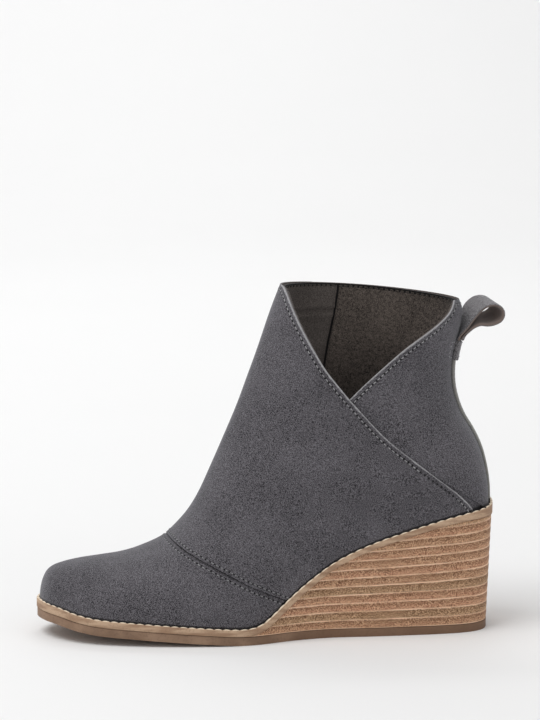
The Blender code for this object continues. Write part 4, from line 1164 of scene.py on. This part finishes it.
def loop_place(u, v):
    p = along(LOOP_LINE, v)
    y = (u - 0.5) * STRAP_WIDTH
    lifted = p[:, 1] / LOOP_RISE
    wrap = (MIDDLE - back_point(np.full(len(y), PATCH_TOP), y)) * (1.0 - ease(lifted, 0.0, 0.45))[:, None]
    skew = y / STRAP_WIDTH * ease(lifted, 0.0, 0.9)
    x = MIDDLE[0] + 0.3 * MM + p[:, 0] - wrap[:, 0] - skew * 0.16 * LOOP_REACH
    z = PATCH_TOP + 0.2 * MM - wrap[:, 2] + p[:, 1] + skew * 0.135 * LOOP_RISE
    z = z + 0.14 * LOOP_RISE * (y / STRAP_WIDTH + 0.5) * ease(v, 0.50, 0.62) * ease(v, 1.0, 0.86)
    return np.stack([x, y, z], axis=1)


bm = laid_grid(18, 110, loop_place)
co, no = sheet_normals(bm)
give_thickness(bm, co + no * 0.5 * STRAP_THICK, co - no * 0.5 * STRAP_THICK, 0.4 * MM)
loop = finish_piece("strap_loop", bm, [STRAP])

# %% [markdown]
# ## Stitches
# Thread lies on the suede between two holes and dives into each, so a stitch looks like a grain of
# rice. Each is a small ball, stretched along its row and half sunk into the leather.

# %% Stitches
for thread, places in STITCHES.items():
    bm = bmesh.new()
    for spot, way, normal in places:
        across = normal.cross(way)
        turn = Matrix((way * 1.05 * MM, across * 0.32 * MM, normal * 0.26 * MM)).transposed().to_4x4()
        bmesh.ops.create_uvsphere(bm, u_segments=8, v_segments=5, radius=1.0,
                                  matrix=Matrix.Translation(spot + normal * 0.02 * MM) @ turn)
    print(thread, "stitches:", len(places))
    finish_piece(thread + "_stitches", bm, [THREADS[thread]])

# %% [markdown]
# ## The rand
# The rand is the strip between the upper and the sole. Its top edge was pressed with a wheel into a row
# of round beads with sharp notches between them. A grid is bent into a closed tube round the outline,
# and the top of its profile rises and falls with the beads.

# %% Rand
ring = np.vstack([OUTLINE_CURVE, OUTLINE_CURVE[:1]])
ring_in = np.vstack([OUTLINE_INWARD, OUTLINE_INWARD[:1]])
ring_run = np.concatenate([[0.0], np.cumsum(np.linalg.norm(np.diff(ring, axis=0), axis=1))])
ring_run /= ring_run[-1]
RAND_PROFILE = ((0.20, "low", 0.00, 0.0), (0.00, "low", 0.25, 0.0), (0.00, "low", 1.20, 0.0),
                (0.00, "top", -0.70, 0.0), (0.02, "top", -0.25, 0.55), (0.14, "top", -0.02, 0.85),
                (0.38, "top", 0.06, 1.0), (0.85, "top", 0.06, 1.0), (1.35, "top", 0.00, 0.85),
                (1.70, "top", -0.25, 0.4), (2.60, "top", -1.30, 0.0), (2.60, "low", 0.30, 0.0))


def rand_place(u, v):
    p = np.stack([np.interp(u, ring_run, ring[:, i]) for i in (0, 1)], axis=1)
    inward = np.stack([np.interp(u, ring_run, ring_in[:, i]) for i in (0, 1)], axis=1)
    inward /= np.linalg.norm(inward, axis=1)[:, None]
    x = np.clip(p[:, 0], 0.0, LENGTH)
    top, low = feather(x), rand_under(x)
    beads = 0.60 * np.abs(np.sin(np.pi * np.interp(u, bead_u, bead_count))) ** 0.75 - 0.18
    row = np.rint(v * len(RAND_PROFILE)).astype(int) % len(RAND_PROFILE)
    inset = np.array([r[0] for r in RAND_PROFILE])[row] * MM
    base = np.where(np.array([r[1] == "top" for r in RAND_PROFILE])[row], top, low)
    lift = np.array([r[2] for r in RAND_PROFILE])[row] + np.array([r[3] for r in RAND_PROFILE])[row] * beads
    q = p + inward * inset[:, None]
    return np.stack([q[:, 0], q[:, 1], base + lift * MM], axis=1)


dense_u = np.linspace(0, 1, 4001)
line = np.stack([np.interp(dense_u, ring_run, ring[:, i]) for i in (0, 1)], axis=1)
line = np.column_stack([line, feather(np.clip(line[:, 0], 0, LENGTH))])
steps = np.linalg.norm(np.diff(line, axis=0), axis=1)
pitch = (4.65 + 0.6 * ease(line[:-1, 0] / LENGTH, 0.35, 0.60)) * MM
count = np.concatenate([[0.0], np.cumsum(steps / pitch)])
bead_u, bead_count = dense_u, count * round(count[-1]) / count[-1]
bm = laid_grid(1240, len(RAND_PROFILE), rand_place)
bmesh.ops.recalc_face_normals(bm, faces=bm.faces)
# marks the bead tops for their paler colour, which is partly wear and partly painted highlight
crest_wear_and_highlight = bm.verts.layers.float.new("crest_wear_and_highlight")
for v in bm.verts:
    over = (v.co.z - float(feather(min(max(v.co.x, 0.0), LENGTH)))) / MM
    v[crest_wear_and_highlight] = float(ease(over, 0.0, 0.36))
for f in bm.faces:
    x, y, _ = f.calc_center_median()
    to_middle = Vector((min(max(x, 0.25 * LENGTH), 0.8 * LENGTH) - x, -y, 0.0)).normalized()
    beside_foot = x > 0.45 * LENGTH and abs(y) > 18 * MM
    f.material_index = int(f.normal.dot(to_middle) > (0.1 if beside_foot else 0.5))
rand = finish_piece("rand_strip", bm, [RAND, INSOLE])
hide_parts("midsole")
print("beads on the rand:", int(round(bead_count[-1])))

# %% [markdown]
# ## The wedge
# The heel is a block of many board layers, glued and sanded. Its two sides are grids that meet at the
# heel, with rows bunched at every joint between layers. Above, all rows stop under the rand, so the
# layers end there one by one, as they do on the real heel.

# %% Wedge
WEDGE_FRONT = 0.427 * LENGTH
LAYERS = 14
SUB = (0.0, 0.06, 0.14, 0.32, 0.55, 0.78, 0.94)
GROOVE = (0.22, 0.30, 0.10, 0.02, 0.00, 0.02, 0.12)
LEVELS = np.array([k + f for k in range(LAYERS) for f in SUB] + [float(LAYERS)])
INSETS = np.array([g for _ in range(LAYERS) for g in GROOVE] + [0.22]) * MM


def level_height(level, x):
    pitch = LAYER * (1.0 + 0.33 * (x / LENGTH - 0.83))
    return outsole_top(x) + GAP + level * pitch


def wedge_point(side, u, level):
    """A point of the wedge's side. No level goes higher than the rand's underside at that column."""
    ahead = WEDGE_FRONT + (LENGTH - WEDGE_FRONT) * np.sin(0.5 * np.pi * u)
    pitch = LAYER * (1.0 + 0.33 * (ahead / LENGTH - 0.83))
    cap = (rand_under(ahead) - GAP - outsole_top(ahead) - GAP) / pitch
    level = np.minimum(level, np.maximum(cap, 0.01))
    top = float(rand_under(LENGTH))
    share = np.clip(level * LAYER / (top - OUTSOLE_THICK), 0.0, 1.0)
    groove = np.interp(level, LEVELS, INSETS) + 0.35 * MM
    inset = HEEL_TAPER * (1.0 - share) + groove
    x = WEDGE_FRONT + (np.interp(inset, INSET_TABLE, END_TABLE) - WEDGE_FRONT) * np.sin(0.5 * np.pi * u)
    blend = ease(x / LENGTH, 0.42, 0.62)
    y = (1 - blend) * edge_table(side, x, groove) + blend * edge_table(side, x, inset)
    z = np.minimum(level_height(level, x), rand_under(x) - 0.5 * GAP)
    return np.stack([x, np.where(u > 0.99999, 0.0, y), z], axis=-1)


INSET_TABLE = np.linspace(0.0, 3.2 * MM, 17)
END_TABLE = np.array([outline(i)[0][-1, 0] for i in INSET_TABLE])
EDGE_X = WEDGE_FRONT + (LENGTH - WEDGE_FRONT) * np.sin(0.5 * np.pi * np.linspace(0, 1, 400))
EDGE_ROWS = {side: np.array([side_y(side, EDGE_X, i) for i in INSET_TABLE]) for side in (-1, 1)}


def edge_table(side, x, inset):
    """Y of the outline at x for an inset that changes from point to point."""
    k = np.clip(inset / INSET_TABLE[1], 0, len(INSET_TABLE) - 1.001)
    i = k.astype(int)
    rows = EDGE_ROWS[side]
    col = np.interp(x, EDGE_X, np.arange(len(EDGE_X)))
    j = np.minimum(col.astype(int), len(EDGE_X) - 2)
    f, g = k - i, col - j
    low = rows[i, j] * (1 - g) + rows[i, j + 1] * g
    high = rows[i + 1, j] * (1 - g) + rows[i + 1, j + 1] * g
    return low * (1 - f) + high * f


def add_patch(bm, columns, rows, place):
    made = bmesh.ops.create_grid(bm, x_segments=columns, y_segments=rows, size=1.0)["verts"]
    co = np.array([v.co[:] for v in made])
    for v, p in zip(made, place(0.5 + 0.5 * co[:, 0], 0.5 + 0.5 * co[:, 1])):
        v.co = p


def wedge_level(v):
    return np.interp(v * (len(LEVELS) - 1), np.arange(len(LEVELS)), LEVELS)


def lerp(a, b, t):
    return a + (b - a) * t[:, None]


bm = bmesh.new()
ALONG, HIGH, WIDE = 90, len(LEVELS) - 1, 6
for side in (-1, 1):
    add_patch(bm, ALONG, HIGH, lambda u, v, n=side: wedge_point(n, u, wedge_level(v)))
for level in (0.0, float(LAYERS)):
    add_patch(bm, ALONG, WIDE, lambda u, v, k=level: lerp(wedge_point(-1, u, np.full(len(u), k)),
                                                        wedge_point(1, u, np.full(len(u), k)), v))
add_patch(bm, WIDE, HIGH, lambda u, v: lerp(wedge_point(-1, 0 * u, wedge_level(v)),
                                            wedge_point(1, 0 * u, wedge_level(v)), u))
bmesh.ops.remove_doubles(bm, verts=bm.verts, dist=2e-6)
bmesh.ops.dissolve_degenerate(bm, edges=bm.edges, dist=1e-6)
bmesh.ops.recalc_face_normals(bm, faces=bm.faces)
level = bm.verts.layers.float.new("level")
for v in bm.verts:
    v[level] = (v.co.z - float(outsole_top(v.co.x)) - GAP) / (LAYER * (1.0 + 0.33 * (v.co.x / LENGTH - 0.83)))
open_edges = sum(1 for e in bm.edges if len(e.link_faces) != 2)
print("open edges of the wedge:", open_edges)
wedge = finish_piece("stacked_wedge", bm, [STACK], 50)
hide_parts("wedge")

# %% [markdown]
# ## The outsole
# The outsole is a thin slab of rubber with toe spring. A grid is fitted between its two sides and
# extruded upwards, and its lower rim is rounded where it meets the floor.

# %% Outsole
def slab_place(inset, taper, height):
    start, end = outline(inset)[0][0, 0], outline(inset + taper)[0][-1, 0]

    def place(u, v):
        x = start + (end - start) * (0.5 - 0.5 * np.cos(np.pi * u))
        blend = ease(x / LENGTH, 0.42, 0.62)
        y = [(1 - blend) * side_y(n, x, inset) + blend * side_y(n, x, inset + taper) for n in (-1, 1)]
        tip = (u < 1e-6) | (u > 1 - 1e-6)
        y = [np.where(tip, outline(inset)[0][0, 1] * (x < 0.1), e) for e in y]
        return np.stack([x, y[0] + (y[1] - y[0]) * v, height(x)], axis=1)
    return place


bm = laid_grid(150, 16, slab_place(0.35 * MM, HEEL_TAPER, ground))
low = np.array([v.co[:] for v in bm.verts])
high = low + np.array([0.0, 0.0, OUTSOLE_THICK])
give_thickness(bm, low, high, 0.25 * MM, 2)
bottom = [e for e in bm.edges if len(e.link_faces) == 2 and e.calc_face_angle(0.0) > 1.0
          and max(v.co.z - float(ground(v.co.x)) for v in e.verts) < 0.05 * MM]
bmesh.ops.bevel(bm, geom=bottom, offset=0.9 * MM, offset_type="OFFSET", segments=4, profile=0.5, affect="EDGES",
                material=-1, clamp_overlap=True)
outsole = finish_piece("rubber_outsole", bm, [RUBBER], 40)
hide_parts("outsole")

# %% [markdown]
# ## What stands for what
# The plain upper, strip, tab and loop are hidden, and the new pieces stand for them. The insole's shape
# is right as it is, so it only gets a finish.

# %% Replace the plain parts
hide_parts("upper")
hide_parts("backstay")
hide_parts("loop_patch")
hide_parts("pull_loop")
plain_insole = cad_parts["insole"]
plain_insole.data.materials.clear()
plain_insole.data.materials.append(INSOLE)

# %% [markdown]
# ## Floor and light
# A pale floor curves up into a pale wall, as in a photographer's studio. One large lamp above and to
# the left gives the soft light on the instep, a weaker one from the right opens the shadows, and the
# white surroundings do the rest.

# %% Floor and light
def sweep(u, v):
    t = np.clip((v - 0.5) / 0.2, 0.0, 1.0)
    y = -3.0 + 5.0 * np.minimum(v / 0.5, 1.0) + 1.2 * np.sin(0.5 * np.pi * t)
    z = 1.2 * (1.0 - np.cos(0.5 * np.pi * t)) + 4.0 * np.clip((v - 0.7) / 0.3, 0.0, 1.0)
    return np.stack([-5.0 + 10.0 * u, y, z], axis=1)


bm = laid_grid(4, 60, sweep)
mesh = bpy.data.meshes.new("studio_floor")
bm.to_mesh(mesh)
bm.free()
for polygon in mesh.polygons:
    polygon.use_smooth = True
floor = bpy.data.objects.new("studio_floor", mesh)
bpy.context.scene.collection.objects.link(floor)
paper = Finish("pale_paper", 0.85, Specular_IOR_Level=0.1)
paper.link(paper.mix(paper.noise(3.0, 2.0), srgb(236, 236, 236), srgb(238, 238, 238)), "Base Color")
mesh.materials.append(paper.material)

world = bpy.data.worlds.new("studio")
world.use_nodes = True
world.node_tree.nodes["Background"].inputs["Color"].default_value = (1.0, 1.0, 1.0, 1.0)
world.node_tree.nodes["Background"].inputs["Strength"].default_value = 0.55
bpy.context.scene.world = world
bpy.context.scene.view_settings.view_transform = "Standard"


def lamp(name, place, target, size, power):
    data = bpy.data.lights.new(name, "AREA")
    data.shape = "DISK"
    data.size = size
    data.energy = power
    obj = bpy.data.objects.new(name, data)
    obj.location = place
    obj.rotation_mode = "QUATERNION"
    obj.rotation_quaternion = (Vector(target) - Vector(place)).to_track_quat("-Z", "Y")
    bpy.context.scene.collection.objects.link(obj)


lamp("key_lamp", (-0.9, -0.35, 1.9), (0, 0, 0.08), 1.4, 23.0)
lamp("fill_lamp", (1.5, -1.4, 1.0), (0, 0, 0.08), 1.4, 3.6)
lamp("wall_lamp", (0.0, 1.4, 2.4), (0, 3.2, 0.7), 2.0, 29.5)

# %% [markdown]
# ## The camera
# The camera stands a little above the shoe and slightly towards its toe, far enough away for a long
# lens. Its turn about its own axis is half a degree.

# %% Camera
AZIMUTH, ELEVATION, ROLL = np.radians((-9.0, 8.5, 0.5))
back = Vector((np.sin(AZIMUTH) * np.cos(ELEVATION), -np.cos(AZIMUTH) * np.cos(ELEVATION), np.sin(ELEVATION)))
right = Vector((0, 0, 1)).cross(back).normalized()
up = back.cross(right)
tilted = np.cos(ROLL) * right + np.sin(ROLL) * up
upright = np.cos(ROLL) * up - np.sin(ROLL) * right
place = Vector((-0.0902, -1.3662, 0.3544)) + SHIFT
turn = Matrix((tilted, upright, back)).transposed().to_4x4()
data = bpy.data.cameras.new("camera")
data.lens = 2587.8 / 720.0 * data.sensor_width
camera = bpy.data.objects.new("camera", data)
camera.matrix_world = Matrix.Translation(place) @ turn
bpy.context.scene.collection.objects.link(camera)
bpy.context.scene.camera = camera
print("camera at", [round(c, 3) for c in place], "lens", round(data.lens, 1))
